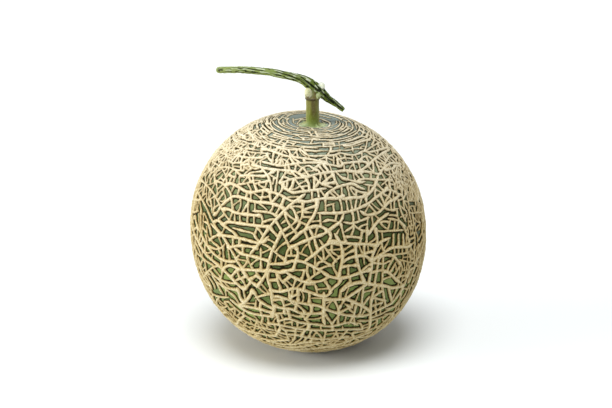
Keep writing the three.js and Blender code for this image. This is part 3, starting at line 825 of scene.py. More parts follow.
class Net:
    """Cords that grow over the fruit like cracks, each until it runs into another.

    Their points lie on a ball of the fruit's half width."""
    BOX = 2.4                  # the size of the boxes that points are kept in, more than any reach asked for
    JOIN = 0.55                # a cord that comes so near another runs into it
    CROSSING_SLANT = 0.55      # cords that meet at less than about 57 degrees join
    SENSE = 2.3                # how far off a cord feels others
    PULL = 1.1                 # how sharply it turns towards one close by
    BEHIND = -0.3              # it takes no notice of one further back than this, as a cosine
    BEND_KEPT = 0.93           # the share of its bend that it keeps at each step
    BEND_SHAKE = 0.37          # the share of its curl that is drawn anew
    START_TOUCH = 1.2          # a cord that starts so near another feels none
    START_BLIND = 1.6          # for so long
    CROSSED_BLIND = 2.0        # and for so long once it has run across one

    def __init__(self, seed):
        self.random = random.Random(seed)
        self.cords = []
        self.boxes = {}

    def box_of(self, p):
        return tuple(math.floor(value / self.BOX) for value in p)

    def nearest(self, p, reach):
        """The nearest cord point within reach, with its distance."""
        cx, cy, cz = self.box_of(p)
        best, found = reach * reach, None
        for i in (cx - 1, cx, cx + 1):
            for j in (cy - 1, cy, cy + 1):
                for k in (cz - 1, cz, cz + 1):
                    for q in self.boxes.get((i, j, k), ()):
                        away = (q[0] - p[0]) ** 2 + (q[1] - p[1]) ** 2 + (q[2] - p[2]) ** 2
                        if away < best:
                            best, found = away, q
        return None if found is None else (math.sqrt(best), found)

    def add(self, points, half_width, rank):
        """Keeps a cord, and notes where each of its points is and which way the cord runs there."""
        self.cords.append((points, half_width, rank))
        for before, p, after in zip(points[:1] + points[:-1], points, points[1:] + points[-1:]):
            run = (after[0] - before[0], after[1] - before[1], after[2] - before[2])
            if run != (0.0, 0.0, 0.0):
                self.boxes.setdefault(self.box_of(p), []).append(p + unit(run))

    def grow(self, start, heading, limit, habit, grain, sense):
        """The points from start until the cord joins another or has run limit millimetres.

        A cord turns towards others that lie within sense of it. Grain keeps it running round the stalk."""
        curl, crossing = habit
        p, ahead, path, gone = start, heading, [], 0.0
        bend = self.random.gauss(0, curl)
        blind = self.START_BLIND if self.nearest(start, self.START_TOUCH) else 0.0
        while gone < limit:
            bend = self.BEND_KEPT * bend + self.random.gauss(0, curl * self.BEND_SHAKE)
            angle = bend * GROW_STEP
            normal = unit(p)
            if grain > 0:
                east = cross(STALK_DIRECTION, normal)
                if dot(east, ahead) < 0:
                    east = (-east[0], -east[1], -east[2])
                angle += grain * GROW_STEP * dot(cross(ahead, unit(east)), normal)
            near = self.nearest(p, sense) if blind <= 0 else None
            if near and near[0] < self.JOIN:
                path.append(near[1][:3])
                slant = abs(dot(ahead, near[1][3:]))
                if slant > self.CROSSING_SLANT or self.random.random() >= crossing:
                    return path
                blind = self.CROSSED_BLIND
            elif near:
                distance, q = near
                to = (q[0] - p[0], q[1] - p[1], q[2] - p[2])
                if dot(ahead, to) / distance > self.BEHIND:
                    pull = self.PULL * (1 - distance / sense)
                    angle += pull * GROW_STEP * dot(cross(ahead, to), normal) / distance
            ahead = turned(ahead, normal, angle)
            moved = unit(tuple(place + run * GROW_STEP for place, run in zip(p, ahead)))
            p = (moved[0] * HALF_WIDTH, moved[1] * HALF_WIDTH, moved[2] * HALF_WIDTH)
            lift = dot(ahead, moved)
            ahead = unit(tuple(run - lift * out for run, out in zip(ahead, moved)))
            path.append(p)
            gone += GROW_STEP
            blind -= GROW_STEP
        return path

    def lay(self, middle, heading, half_width, rank, limit, habit, grain=0.0, sense=SENSE):
        """A cord that grows both ways from its middle."""
        there = self.grow(middle, heading, limit, habit, grain, sense)
        opposite = (-heading[0], -heading[1], -heading[2])
        back = self.grow(middle, opposite, limit, habit, grain, sense)
        points = back[::-1] + [middle] + there
        if len(points) < 3:
            return None
        self.add(points, half_width, rank)
        return points


def even_directions(count, seed):
    """Directions spread evenly over a ball, slightly shaken."""
    i = np.arange(count) + 0.5
    z = 1 - 2 * i / count
    turn = i * math.pi * (3 - math.sqrt(5))
    flat = np.sqrt(1 - z * z)
    rows = np.stack([flat * np.cos(turn), flat * np.sin(turn), z], 1)
    shake = 0.004
    return normalised(rows + np.random.default_rng(seed).normal(0, shake, rows.shape))


def away_from(pixel, directions):
    """Straight distances over the ball between the place seen at a pixel and directions."""
    return np.linalg.norm(directions - places_seen_at([pixel]), axis=1) * HALF_WIDTH


def fine_share(directions):
    """How fully directions lie in the patches of fine net, from 0 to 1."""
    share = np.zeros(len(directions))
    for pixel, reach in FINE_PATCHES:
        away = away_from(pixel, directions)
        share = np.maximum(share, clamped(PATCH_FADE - PATCH_FADE * away / reach))
    return share


def fineness_of(directions):
    """The share of their full widths that cords have at directions."""
    return np.interp(stalk_angle(directions), *FINENESS) * (1 - PATCH_FINENESS * fine_share(directions))


def cell_radius(directions):
    """How far the middle of a finished cell may lie from the nearest cord."""
    radius = np.interp(stalk_angle(directions), *CELL_RADII)
    variety = lattice_noise(directions * HALF_WIDTH + 200, CELL_VARIETY_CELL, 5) - 0.5
    radius *= 1 + CELL_VARIETY * variety
    radius = np.maximum(radius * (1 - PATCH_CELLS * fine_share(directions)), SMALLEST_CELL)
    for pixel, reach in BARE_PATCHES:
        radius += BARE_CELLS * clamped(BARE_FADE - away_from(pixel, directions) / reach)
    return radius


def grain_at(direction):
    """How strongly cords follow rings around the stalk."""
    return float(np.interp(stalk_angle(np.array([direction]))[0], *RING_PULL))


def seen_cord(pixels):
    """A cord through places of the front view, as evenly spaced points on the ball."""
    shares = np.linspace(0, 1, 12 * (len(pixels) - 1) + 1)
    places = places_seen_at(smooth_rows(pixels, shares)) * HALF_WIDTH
    places = places[places[:, 1] < SEEN_BACK_TO]
    run = np.concatenate([[0], np.cumsum(np.linalg.norm(np.diff(places, axis=0), axis=1))])
    even = np.linspace(0, run[-1], max(3, round(run[-1] / GROW_STEP) + 1))
    return list(zip(*(np.interp(even, run, places[:, axis]).tolist() for axis in range(3))))


def grow_net():
    """Lays the cords seen in front, then splits the largest bare patch again and again."""
    net = Net(NET_SEED)
    chance = net.random
    directions = even_directions(CELL_SAMPLES, NET_SEED)
    places = directions * HALF_WIDTH
    wanted = cell_radius(directions)
    fineness = fineness_of(directions)
    weave = (lattice_noise(places + 500, WEAVE_CELL, 6) - 0.5) * WEAVE_TURN
    bare = np.full(CELL_SAMPLES, NET_STARTS_BARE)
    nearest_cord = np.zeros((CELL_SAMPLES, 3))

    def note(points):
        """Measures the bareness around a new cord again."""
        rows = np.array(points[::2] if len(points) > 6 else points)
        middle = rows.mean(0)
        reach = np.linalg.norm(rows - middle, axis=1).max() + WATCHED_BEYOND
        close = np.nonzero(((places - middle) ** 2).sum(1) < reach * reach)[0]
        away = ((places[close][:, None] - rows[None]) ** 2).sum(2)
        best = away.argmin(1)
        away = np.sqrt(away[np.arange(len(close)), best])
        nearer = away < bare[close]
        bare[close[nearer]] = away[nearer]
        nearest_cord[close[nearer]] = rows[best[nearer]]

    for rank, cords in enumerate([LONG_CORDS, CROWN_CORDS + BRANCH_CORDS, RUNG_CORDS]):
        for pixels in cords:
            points = seen_cord(pixels)
            width = fineness_of(np.array([unit(points[len(points) // 2])]))[0]
            net.add(points, HALF_WIDTHS[rank] * width * chance.uniform(*SEEN_WIDTHS), rank)
            note(points)

    spent = np.zeros(CELL_SAMPLES, bool)
    while True:
        need = np.where(spent, 0, bare / wanted)
        at = int(need.argmax())
        if need[at] < 1:
            return net
        middle, normal = tuple(places[at]), tuple(directions[at])
        width = fineness[at] * chance.uniform(*GROWN_WIDTHS)
        below = int(normal[2] <= CROWN_LEVEL)
        if need[at] > LONG_CORD_NEED:
            grain = grain_at(normal)
            one_family = grain > TWO_FAMILIES_UP_TO
            family = 0 if one_family or chance.random() < FIRST_FAMILY else math.pi / 2
            angle = weave[at] * (grain < WEAVE_BELOW) + family + chance.gauss(0, LONG_SWING)
            heading = turned(unit(cross(STALK_DIRECTION, normal)), normal, angle)
            half_width, rank = HALF_WIDTHS[0] * width, 0
            limit = chance.uniform(*LONG_REACH)
            points = net.lay(middle, heading, half_width, rank, limit, LONG_HABIT, grain)
        elif stalk_angle(directions[at:at + 1])[0] < CROWN_EDGE and chance.random() < CROWN_RINGS:
            heading = turned(unit(cross(STALK_DIRECTION, normal)), normal, chance.gauss(0, RING_SWING))
            half_width, rank = HALF_WIDTHS[1] * width, 1
            limit = chance.uniform(*RING_REACH)
            points = net.lay(middle, heading, half_width, rank, limit, RING_HABIT, RING_GRAIN, RING_SENSE)
        else:
            across = nearest_cord[at] - places[at]
            across = unit(tuple(across - across.dot(directions[at]) * directions[at]))
            heading = turned(across, normal, chance.gauss(0, BRANCH_SWING))
            rank = 1 if need[at] > BRANCH_NEED else 2
            half_width = HALF_WIDTHS[rank] * width
            limit = chance.uniform(*BRANCH_REACH[below]) if rank == 1 else RUNG_REACH[below]
            habit = BRANCH_HABIT if rank == 1 else RUNG_HABIT
            points = net.lay(middle, heading, half_width, rank, limit, habit)
        if points:
            note(points)
        spent[at] = points is None or bare[at] > SPENT_BARENESS


def with_joins(cords):
    """The cords, each with whether its first and its last point lie on another cord."""
    rows = [p for points, _, _ in cords for p in points]
    tree = KDTree(len(rows))
    for i, p in enumerate(rows):
        tree.insert(p, i)
    tree.balance()

    def joined(end):
        return len(tree.find_range(end, JOIN_REACH)) > OWN_POINTS

    return [(*cord, (joined(cord[0][0]), joined(cord[0][-1]))) for cord in cords]


def cord_samples(cords):
    """Points about every SAMPLE_STEP along the cords, with the half width and relief there."""
    rows, halves, reliefs = [], [], []
    seeds = random.Random(NET_SEED + 1)
    for points, half_width, rank, joins in cords:
        path = np.array(points)
        count = max(2, round((len(path) - 1) * GROW_STEP / SAMPLE_STEP))
        share = np.linspace(0, len(path) - 1, count)
        low = np.minimum(share.astype(int), len(path) - 2)
        part = (share - low)[:, None]
        line = path[low] * (1 - part) + path[low + 1] * part
        swell = 1 + 0.08 * np.sin(share * 0.31 + seeds.uniform(0, 6.3))
        swell += KNOBBLES * (lattice_noise(line + 100, KNOBBLE_CELL, 22) - 0.5)
        for away, joined in zip([share * GROW_STEP, share[::-1] * GROW_STEP], joins):
            flare = FLARE * np.exp(-((away - FLARE_PLACE) / FLARE_SPAN) ** 2)
            swell *= 1 + flare if joined else 1 - TAPER * np.exp(-(away / TAPER_SPAN) ** 2)
        rows.append(normalised(line) * HALF_WIDTH)
        halves.append(half_width * swell)
        relief_share = min(1.0, LEAST_RELIEF + RELIEF_GAIN * half_width)
        reliefs.append(skin_inset(normalised(line)) * relief_share)
    return np.concatenate(rows), np.concatenate(halves), np.concatenate(reliefs)


def between(net_samples, low, high):
    """The samples that lie between two angles from the stalk."""
    angle = stalk_angle(net_samples[0] / HALF_WIDTH)
    kept = (angle > low) & (angle < high)
    return tuple(values[kept] for values in net_samples)


def cord_profile(away, relief):
    """Height across a cord, from its middle line at 0 to its edge at 1: a half round with a low foot."""
    round_top = np.maximum(1 - away ** 2, 0) ** 0.55
    foot = FOOT_HEIGHT * (1 - (away / FOOT_REACH) ** 6)
    return relief * np.maximum(round_top, foot)


# ---------------------------------------------------------------- meshes

def new_piece(name, points, face_sets, node, material):
    """A smooth shaded mesh from points in millimetres, riding on the melon's one body."""
    mesh = bpy.data.meshes.new(name)
    mesh.vertices.add(len(points))
    mesh.vertices.foreach_set("co", (np.asarray(points) * MM).astype(np.float32).ravel())
    loops = np.concatenate([faces.ravel() for faces in face_sets])
    sizes = np.concatenate([np.full(len(faces), faces.shape[1]) for faces in face_sets])
    mesh.loops.add(len(loops))
    mesh.loops.foreach_set("vertex_index", loops.astype(np.int32))
    mesh.polygons.add(len(sizes))
    starts = np.concatenate([[0], np.cumsum(sizes)[:-1]])
    mesh.polygons.foreach_set("loop_start", starts.astype(np.int32))
    mesh.update(calc_edges=True)
    mesh.shade_smooth()
    mesh.materials.append(material)
    piece = bpy.data.objects.new(name, mesh)
    bpy.context.scene.collection.objects.link(piece)
    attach(piece, "root")
    if node:
        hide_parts(node)
    return piece


def corners_of(piece):
    """A piece's corners in millimetres."""
    rows = np.empty(len(piece.data.vertices) * 3, np.float32)
    piece.data.vertices.foreach_get("co", rows)
    return rows.reshape(-1, 3).astype(float) / MM


def set_values(piece, name, values):
    """A named number for each corner, for the materials to read."""
    layer = piece.data.attributes.new(name, "FLOAT", "POINT")
    layer.data.foreach_set("value", np.asarray(values, np.float32))


def thin_out(piece, triangles):
    """Merges the flattest faces until about that many triangles are left."""
    piece.data.calc_loop_triangles()
    share = triangles / len(piece.data.loop_triangles)
    if share >= 1:
        return
    cutter = piece.modifiers.new("thin_out", "DECIMATE")
    cutter.ratio = share
    cutter.use_collapse_triangulate = True
    seen = piece.evaluated_get(bpy.context.evaluated_depsgraph_get())
    thinned = bpy.data.meshes.new_from_object(seen)
    piece.modifiers.clear()
    piece.data = thinned


def unwrap_on_cube(piece):
    """Lays the piece out as six cube faces, with faces that look inwards in a strip of their own."""
    mesh = piece.data
    rays = rays_through(corners_of(piece))
    mesh.calc_loop_triangles()
    count = len(mesh.polygons)
    starts = np.empty(count, np.int32)
    totals = np.empty(count, np.int32)
    normals = np.empty(count * 3, np.float32)
    mesh.polygons.foreach_get("loop_start", starts)
    mesh.polygons.foreach_get("loop_total", totals)
    mesh.polygons.foreach_get("normal", normals)
    ends = np.empty(len(mesh.loops), np.int32)
    mesh.loops.foreach_get("vertex_index", ends)
    polygon = np.repeat(np.arange(count), totals)
    middle = np.stack([np.bincount(polygon, rays[ends, a], count) for a in range(3)], 1)
    axis = np.abs(middle).argmax(1)
    far = middle[np.arange(count), axis] > 0
    chart = axis * 2 + far
    inward = (normals.reshape(-1, 3) * middle).sum(1) < 0
    own_axis = axis[polygon]
    corner = rays[ends]
    depth = np.abs(corner[np.arange(len(ends)), own_axis])
    first = corner[np.arange(len(ends)), np.where(own_axis == 0, 1, 0)]
    second = corner[np.arange(len(ends)), np.where(own_axis == 2, 1, 2)]
    filled = 0.96     # of each cube face's own square, so that neighbours don't touch
    u = (np.arctan(first / depth) * 4 / math.pi * filled + 1) / 2
    v = (np.arctan(second / depth) * 4 / math.pi * filled + 1) / 2
    column, row = chart[polygon] % 3, chart[polygon] // 3
    strip = 0.94      # of the height, above which the inward faces lie
    across = np.where(inward[polygon], (chart[polygon] + u) / 6, (column + u) / 3)
    along = np.where(inward[polygon], strip + (1 - strip) * v, (row + v) / 2 * strip)
    layer = mesh.uv_layers.new(name="OFBake")
    layer.data.foreach_set("uv", np.stack([across, along], 1).astype(np.float32).ravel())


def make_skin(net_samples, material):
    """The green skin, puffed up a little in the middle of each cell of the net."""
    ball = Ball(SKIN_GRID)
    samples, halves, _ = net_samples
    closeness = ball.spread(samples, halves + BARE_BEYOND, halves, 1.0, lambda away, half: 1 - away)
    bareness = clamped(1 - closeness)
    points = fruit_points(ball.directions)
    normals = fruit_normals(ball.directions)
    roll = lattice_noise(points + 300, SKIN_ROLL_CELL, 11) - 0.5
    puff = CELL_PUFF * (bareness - 0.5) + SKIN_ROLL * roll
    points += normals * (puff - skin_inset(ball.directions))[:, None]
    points[:, 2] = np.maximum(points[:, 2], SKIN_REST)
    piece = new_piece("fruit_skin", points, [ball.quads], "fruit", material)
    # bareness also sets the painted shade on the skin beside the cords.
    set_values(piece, "bareness", bareness)
    # crown paints the skin paler towards the stalk: partly a paler crown, partly painted sheen from above.
    set_values(piece, "crown", np.interp(stalk_angle(ball.directions), *CROWN_TINT))
    # base paints the skin lighter below: partly a paler blossom end, partly painted light bounced from the
    # floor.
    set_values(piece, "base", np.interp(stalk_angle(ball.directions), *BASE_TINT))
    unwrap_on_cube(piece)
    return piece


def net_ground(ball):
    """The skin under the net at a ball's corners, and the way out of it there."""
    normals = fruit_normals(ball.directions)
    return fruit_points(ball.directions) - normals * skin_inset(ball.directions)[:, None], normals


def make_cords(name, ball, ground, net_samples, seed, triangles, material):
    """Cords as closed bars with flat undersides inside the skin."""
    base, normals = ground
    samples, halves, reliefs = net_samples
    height = ball.spread(samples, halves, reliefs, FOOT_REACH * SIDE_REACH, cord_profile)
    grain = lattice_noise(base + 400, CORD_GRAIN_CELL, seed) - 0.5
    covered = height > -CORD_FOOT
    height = np.maximum(height, -CORD_FOOT)
    height += np.where(height > 0, CORD_GRAIN * grain * clamped(height), 0)
    kept = ball.quads[covered[ball.quads].any(1)]
    used, quads = np.unique(kept, return_inverse=True)
    quads = quads.reshape(-1, 4)
    top = base[used] + normals[used] * height[used][:, None]
    bottom = base[used] - normals[used] * CORD_BOTTOM
    count = len(used)
    starts, ends = quads.ravel(), np.roll(quads, -1, axis=1).ravel()
    open_edges = ~np.isin(starts * count + ends, ends * count + starts)
    a, b = starts[open_edges], ends[open_edges]
    walls = np.stack([b, a, a + count, b + count], 1)
    faces = np.concatenate([quads, quads[:, ::-1] + count, walls])
    points = np.concatenate([top, bottom])
    points[:, 2] = np.maximum(points[:, 2], 0.0)
    piece = new_piece(name, points, [faces], "fruit", material)
    thin_out(piece, triangles)
    piece.data.shade_smooth()
    corners = corners_of(piece)
    # crest sets the cork's colour by height, including the painted shade along the foot and sides of each
    # cord.
    set_values(piece, "crest", crest_share(corners))
    # crown paints the cork paler towards the stalk: partly a paler crown, partly painted sheen from above.
    set_values(piece, "crown", np.interp(stalk_angle(normalised(rays_through(corners))), *CROWN_TINT))
    unwrap_on_cube(piece)
    return piece


# ---------------------------------------------------------------- stalk, vine and stubs

def skin_level(x, y):
    """Height of the skin at a place near the stalk."""
    crown = WIDEST_LEVEL + CROWN_RISE
    from_axis = np.hypot(x - LEAN * crown, y) / HALF_WIDTH
    rise = CROWN_RISE * (1 - from_axis ** SQUARENESS) ** (1 / SQUARENESS)
    top = WIDEST_LEVEL + rise * (1 + CROWN_TILT * y / CROWN_RISE)
    away = np.hypot(x - STALK_X, y) / DIMPLE_RADIUS
    return top - DIMPLE_DEPTH * np.exp(-away ** 2) - SKIN_INSET[1][0]


def tube_faces(rings, sides):
    """Quads between rings of corners, and triangles to the two end corners that follow them."""
    start = np.arange(rings - 1)[:, None] * sides
    near = np.arange(sides)[None]
    after = (near + 1) % sides
    quads = np.stack([start + near, start + after, start + sides + after, start + sides + near], 2)
    first, last = rings * sides, rings * sides + 1
    edge = np.arange(sides)
    behind = (edge + 1) % sides
    foot = np.stack([np.full(sides, first), behind, edge], 1)
    base = (rings - 1) * sides
    head = np.stack([np.full(sides, last), base + edge, base + behind], 1)
    return [quads.reshape(-1, 4), np.concatenate([foot, head])]


def smooth_rows(rows, shares):
    """Rows between the given ones, on a Catmull-Rom curve."""
    rows = np.asarray(rows, float)
    padded = np.vstack([2 * rows[0] - rows[1], rows, 2 * rows[-1] - rows[-2]])
    place = np.asarray(shares) * (len(rows) - 1)
    low = np.clip(place.astype(int), 0, len(rows) - 2)
    t = (place - low)[:, None]
    p0, p1, p2, p3 = (padded[low + k] for k in range(4))
    return 0.5 * (2 * p1 + (p2 - p0) * t + (2 * p0 - 5 * p1 + 4 * p2 - p3) * t ** 2
                  + (3 * p1 - p0 - 3 * p2 + p3) * t ** 3)


# x, y, z and radius along the vine, as in the CAD model.
VINE_ROUTE = [
    (-59.4, 3.0, 178.5, 1.9),
    (-50.0, 2.6, 178.8, 2.1),
    (-40.7, 2.0, 178.9, 2.2),
    (-28.2, 1.2, 177.9, 2.4),
    (-16.8, 0.5, 176.0, 2.5),
    (-7.1, 0.1, 173.6, 2.8),
    (-0.8, 0.0, 170.1, 3.6),
    (5.0, -0.2, 165.6, 3.4),
    (10.2, -0.6, 161.2, 2.3),
    (15.0, -1.0, 158.0, 1.9),
    (19.8, -1.5, 154.2, 1.35),
]
VINE_LENGTH = 86.0         # along its bends
VINE_RINGS = 420
VINE_SIDES = 108
VINE_RIBS = 5
RIB_TWIST = 1.4            # how far the ribs turn round the vine from end to end, in radians
RIB_SHARE = 0.09           # their height, as a share of the vine's radius
VINE_STREAKS = 8
STREAK_TWIST = 5.0         # how far the streaks turn round it
STREAK_RADIUS = 2.6        # of the bar that the noise for them is taken on
DASH_SQUEEZE = 0.42        # the dashes' width as a share of their length along the vine
LUMP_SQUEEZE = 0.5         # the same for the lumps
LUMP_HEIGHT = 0.30
FLECK_HEIGHT = 0.22
DASH_DEPTH = 0.30
FURROW_ANGLE = math.radians(-78)   # from the top of the vine towards the viewer
FURROW_SPAN = 0.45
FURROW_DEPTH = 0.65
SLIT_SPAN = 0.7
SLIT_DEPTH = 1.2
CUT_SLANT = 3.0            # how far the left end's cut runs back on its front side
CUT_FADE = 5.0             # over how long a stretch that slant fades


def vine_frame(shares):
    """Middle, radius, and the upward, sideways and forward directions along the vine."""
    rows = smooth_rows(VINE_ROUTE, shares)
    ahead = normalised(smooth_rows(VINE_ROUTE, np.minimum(np.asarray(shares) + 0.004, 1))[:, :3]
                       - smooth_rows(VINE_ROUTE, np.maximum(np.asarray(shares) - 0.004, 0))[:, :3])
    side = normalised(np.array([[0.0, 1.0, 0.0]]) - ahead * ahead[:, 1:2])
    return rows[:, :3], rows[:, 3], np.cross(ahead, side), side, ahead


def make_vine(material):
    """The ribbed piece of vine, with one deep furrow along its front and a slit in its left end."""
    shares = np.linspace(0, 1, VINE_RINGS)
    middle, radius, over, side, ahead = vine_frame(shares)
    turn = np.linspace(0, 2 * math.pi, VINE_SIDES, endpoint=False)
    share, angle = np.meshgrid(shares, turn, indexing="ij")
    twisted = angle + STREAK_TWIST * share
    spot = [share * VINE_LENGTH, np.cos(twisted) * STREAK_RADIUS, np.sin(twisted) * STREAK_RADIUS]
    spot = np.stack(spot, 2).reshape(-1, 3) + 50
    gaps = lattice_noise(spot * [DASH_SQUEEZE, 1, 1], 0.9, 31).reshape(share.shape)
    dashes = lattice_noise(spot * [DASH_SQUEEZE, 1, 1], 0.8, 33).reshape(share.shape)
    lumps = lattice_noise(spot * [LUMP_SQUEEZE, 1, 1], 1.6, 32).reshape(share.shape)
    ribs = 0.5 + 0.5 * np.cos(VINE_RIBS * (angle + RIB_TWIST * share) + 2.0 * lumps)
    front = FURROW_ANGLE + 0.12 * np.sin(share * 19)
    off_front = np.abs((angle - front + math.pi) % (2 * math.pi) - math.pi) * radius[:, None]
    furrow = np.exp(-(off_front / FURROW_SPAN) ** 2) * clamped(share * 5 - 2.2)
    slit = np.exp(-(off_front / SLIT_SPAN) ** 2) * clamped(1 - share * 22)
    slant = CUT_SLANT * (0.5 + 0.5 * np.cos(angle - front)) * np.exp(-share * VINE_LENGTH / CUT_FADE)
    streaks = np.cos(VINE_STREAKS * twisted + 5 * lumps)
    dark = clamped(0.25 - streaks * 2) * clamped((gaps - 0.34) * 8) * clamped(0.15 + share * 4)
    pale = clamped(streaks * 1.6 - 0.3) * clamped((dashes - 0.46) * 9) * (0.95 - share * 0.3)
    upper = np.cos(angle) * 0.5 + 0.5
    size = radius[:, None] * (1 - RIB_SHARE + RIB_SHARE * ribs)
    size += LUMP_HEIGHT * (lumps - 0.5) + FLECK_HEIGHT * pale - DASH_DEPTH * dark
    size -= FURROW_DEPTH * furrow + SLIT_DEPTH * slit
    points = (middle[:, None] + over[:, None] * (size * np.cos(angle))[..., None]
              + side[:, None] * (size * np.sin(angle))[..., None]
              + ahead[:, None] * slant[..., None]).reshape(-1, 3)
    ends = np.array([middle[0] + ahead[0] * 3.2, middle[-1] - ahead[-1] * 0.6])
    points = np.vstack([points, ends])
    faces = tube_faces(VINE_RINGS, VINE_SIDES)
    piece = new_piece("cut_vine", points, faces, "vine_section", material)
    # Painted shade: dark in the furrow, in the end slit and in the recessed middle of the cut end, along
    # with the vine's own dark streaks.
    set_values(piece, "hollow_shade_and_streaks", np.append(clamped(furrow * 1.2 + slit * 1.5 + dark), [1, 0]))
    # The raised pale dashes, painted up to four times stronger on the vine's top as a painted highlight.
    set_values(piece, "fleck_and_top_highlight", np.append(pale * (0.25 + 0.75 * upper) * (1 - furrow), [0, 0]))
    set_values(piece, "along", np.append(share, [0, 1]))
    set_values(piece, "upper", np.append(upper, [0.5, 0.5]))
    set_values(piece, "cut", np.append(np.exp(-share * 60) + np.exp(-(1 - share) * 60), [0, 1]))
    return piece


def make_bristles(material):
    """Short stiff hairs all over the vine, as thin three-sided spikes."""
    chance = np.random.default_rng(41)
    count = 900
    tilt = 0.35
    thick = 0.07
    share = chance.uniform(0.01, 0.99, count)
    middle, radius, over, side, ahead = vine_frame(share)
    angle = chance.uniform(0, 2 * math.pi, count)
    out = over * np.cos(angle)[:, None] + side * np.sin(angle)[:, None]
    lean = normalised(out + ahead * chance.normal(0, tilt, count)[:, None]
                      + np.cross(out, ahead) * chance.normal(0, tilt, count)[:, None])
    root = middle + out * (radius * 0.9)[:, None]
    length = chance.uniform(0.35, 0.75, count)
    across = normalised(np.cross(lean, ahead))
    upright = np.cross(lean, across)
    points, faces = [], []
    for k in range(3):
        a = 2 * math.pi * k / 3
        points.append(root + (across * math.cos(a) + upright * math.sin(a)) * thick)
    points.append(root + lean * (length + 0.2)[:, None])
    points = np.stack(points, 1).reshape(-1, 3)
    first = np.arange(count) * 4
    for a, b, c in ((0, 1, 3), (1, 2, 3), (2, 0, 3), (0, 2, 1)):
        faces.append(np.stack([first + a, first + b, first + c], 1))
    return new_piece("vine_bristles", points, [np.concatenate(faces)], None, material)


STALK_RADIUS = 4.1
SKIRT_RINGS = 26
SHAFT_RINGS = 70
STALK_SIDES = 108
STALK_SCAR = 161.4         # the scar's level, and how far it stands out over how long a stretch
SCAR_HEIGHT = 0.65
SCAR_SPAN = 0.55
STALK_HEAD = 167.5
NECK_INSET = 0.9           # how much thinner the stalk is above the scar
NECK_SHIFT = 1.1           # and how far to the right its middle is there
STALK_ARMS = 9             # the skirt's ridges
ARM_REACH = 5.6            # how far they run out beyond the skirt between them
SKIRT_REACH = 1.2          # and how far that runs out from the stalk
SKIRT_HEIGHT = 3.4
FLUTES = 7                 # shallow grooves round the stalk, deepest half way up it
FLUTE_DEPTH = 0.14
FLUTE_LEVEL = 153
FLUTE_SPAN = 7
STALK_LUMPS = 0.25
OLIVE_BAND = math.radians(-76)     # from +X, so towards the viewer and a little right
BURNT_SIDE = math.radians(240)     # towards the viewer and left


def round_spots(turn, level, radius, stretch):
    """Places round an upright bar at the given turns and levels, for the noise to be taken at."""
    x, y = radius * np.cos(turn) + level * 0, radius * np.sin(turn) + level * 0
    return np.stack([x, y, level * stretch], 2).reshape(-1, 3)


def make_stalk(material):
    """The stalk, with a skirt of low ridges that runs out over the skin and a scar below the knob."""
    turn = np.linspace(0, 2 * math.pi, STALK_SIDES, endpoint=False)
    lead = turn + 0.45 * np.sin(turn * 2 + 0.6)
    arms = clamped(np.cos(STALK_ARMS * lead) * 0.8 + 0.2) * (0.75 + 0.25 * np.cos(turn * 3 + 1))
    bend = np.linspace(0, math.pi / 2, SKIRT_RINGS)[:, None]
    skirt = STALK_RADIUS + (SKIRT_REACH + ARM_REACH * arms) * (1 - np.sin(bend))
    x, y = STALK_X + skirt * np.cos(turn), skirt * np.sin(turn)
    skin = skin_level(x, y)
    z = skin - 0.3 + (0.45 + 0.35 * arms) * clamped(bend * 6) + (SKIRT_HEIGHT - 0.7) * (1 - np.cos(bend))
    share = np.linspace(0, 1, SHAFT_RINGS + 1)[1:, None]
    level = z[-1] * (1 - share) + STALK_HEAD * share
    scar = np.exp(-((level - STALK_SCAR) / SCAR_SPAN) ** 2)
    neck = clamped((level - STALK_SCAR - 0.4) / 2.2)
    radius = STALK_RADIUS + SCAR_HEIGHT * scar - NECK_INSET * neck
    radius += FLUTE_DEPTH * np.cos(FLUTES * turn + 0.8) * np.exp(-((level - FLUTE_LEVEL) / FLUTE_SPAN) ** 2)
    spot = round_spots(turn, level, 4, 0.4) + 90
    radius += (STALK_LUMPS * (lattice_noise(spot, 1.2, 51) - 0.5)).reshape(radius.shape)
    x = np.vstack([x, STALK_X + NECK_SHIFT * neck + radius * np.cos(turn)])
    y = np.vstack([y, radius * np.sin(turn)])
    z = np.vstack([z, level])
    ends = np.array([[STALK_X, 0, z[0].min() - 0.3], [STALK_X + NECK_SHIFT, 0, STALK_HEAD]])
    points = np.vstack([np.stack([x, y, z], 2).reshape(-1, 3), ends])
    rings = SKIRT_RINGS + SHAFT_RINGS
    piece = new_piece("stalk", points, tube_faces(rings, STALK_SIDES), "fruit_stalk", material)
    low = z[0].mean()
    spots = lattice_noise(points[:-2] + 70, 1.0, 52).reshape(z.shape)
    ring = np.exp(-((z - STALK_SCAR) / 0.6) ** 2)
    burnt = ring * clamped(np.cos(turn - BURNT_SIDE) * 2.0 - 0.2) * clamped(spots * 6 - 2.0)
    set_values(piece, "burnt", np.append(burnt, [0, 0]))
    stripes = lattice_noise(round_spots(turn, z, 3, 0.06) + 30, 1.1, 53).reshape(z.shape)
    off_band = (turn - OLIVE_BAND + math.pi) % (2 * math.pi) - math.pi
    band = clamped(np.exp(-(off_band / 0.42) ** 2) * 0.9 + (stripes - 0.5) * 1.2)
    set_values(piece, "olive", np.append(band * clamped((z - low) / 6 - 0.5), [0, 0]))
    set_values(piece, "climb", np.append((z - low) / (STALK_HEAD - low), [0, 1]))
    # Painted highlight: the stalk's left and right edges, as seen from the front, are painted paler.
    set_values(piece, "rim_highlight", np.append(clamped(np.abs(np.cos(turn)) * 4 - 3) + z * 0, [0, 0]))
    reach = np.hypot(x - STALK_X, y) - STALK_RADIUS
    spread_arms = clamped(reach / 2.5) * (0.3 + 0.7 * arms) * (z < low + 6)
    set_values(piece, "arms", np.append(spread_arms, [0, 0]))
    return piece


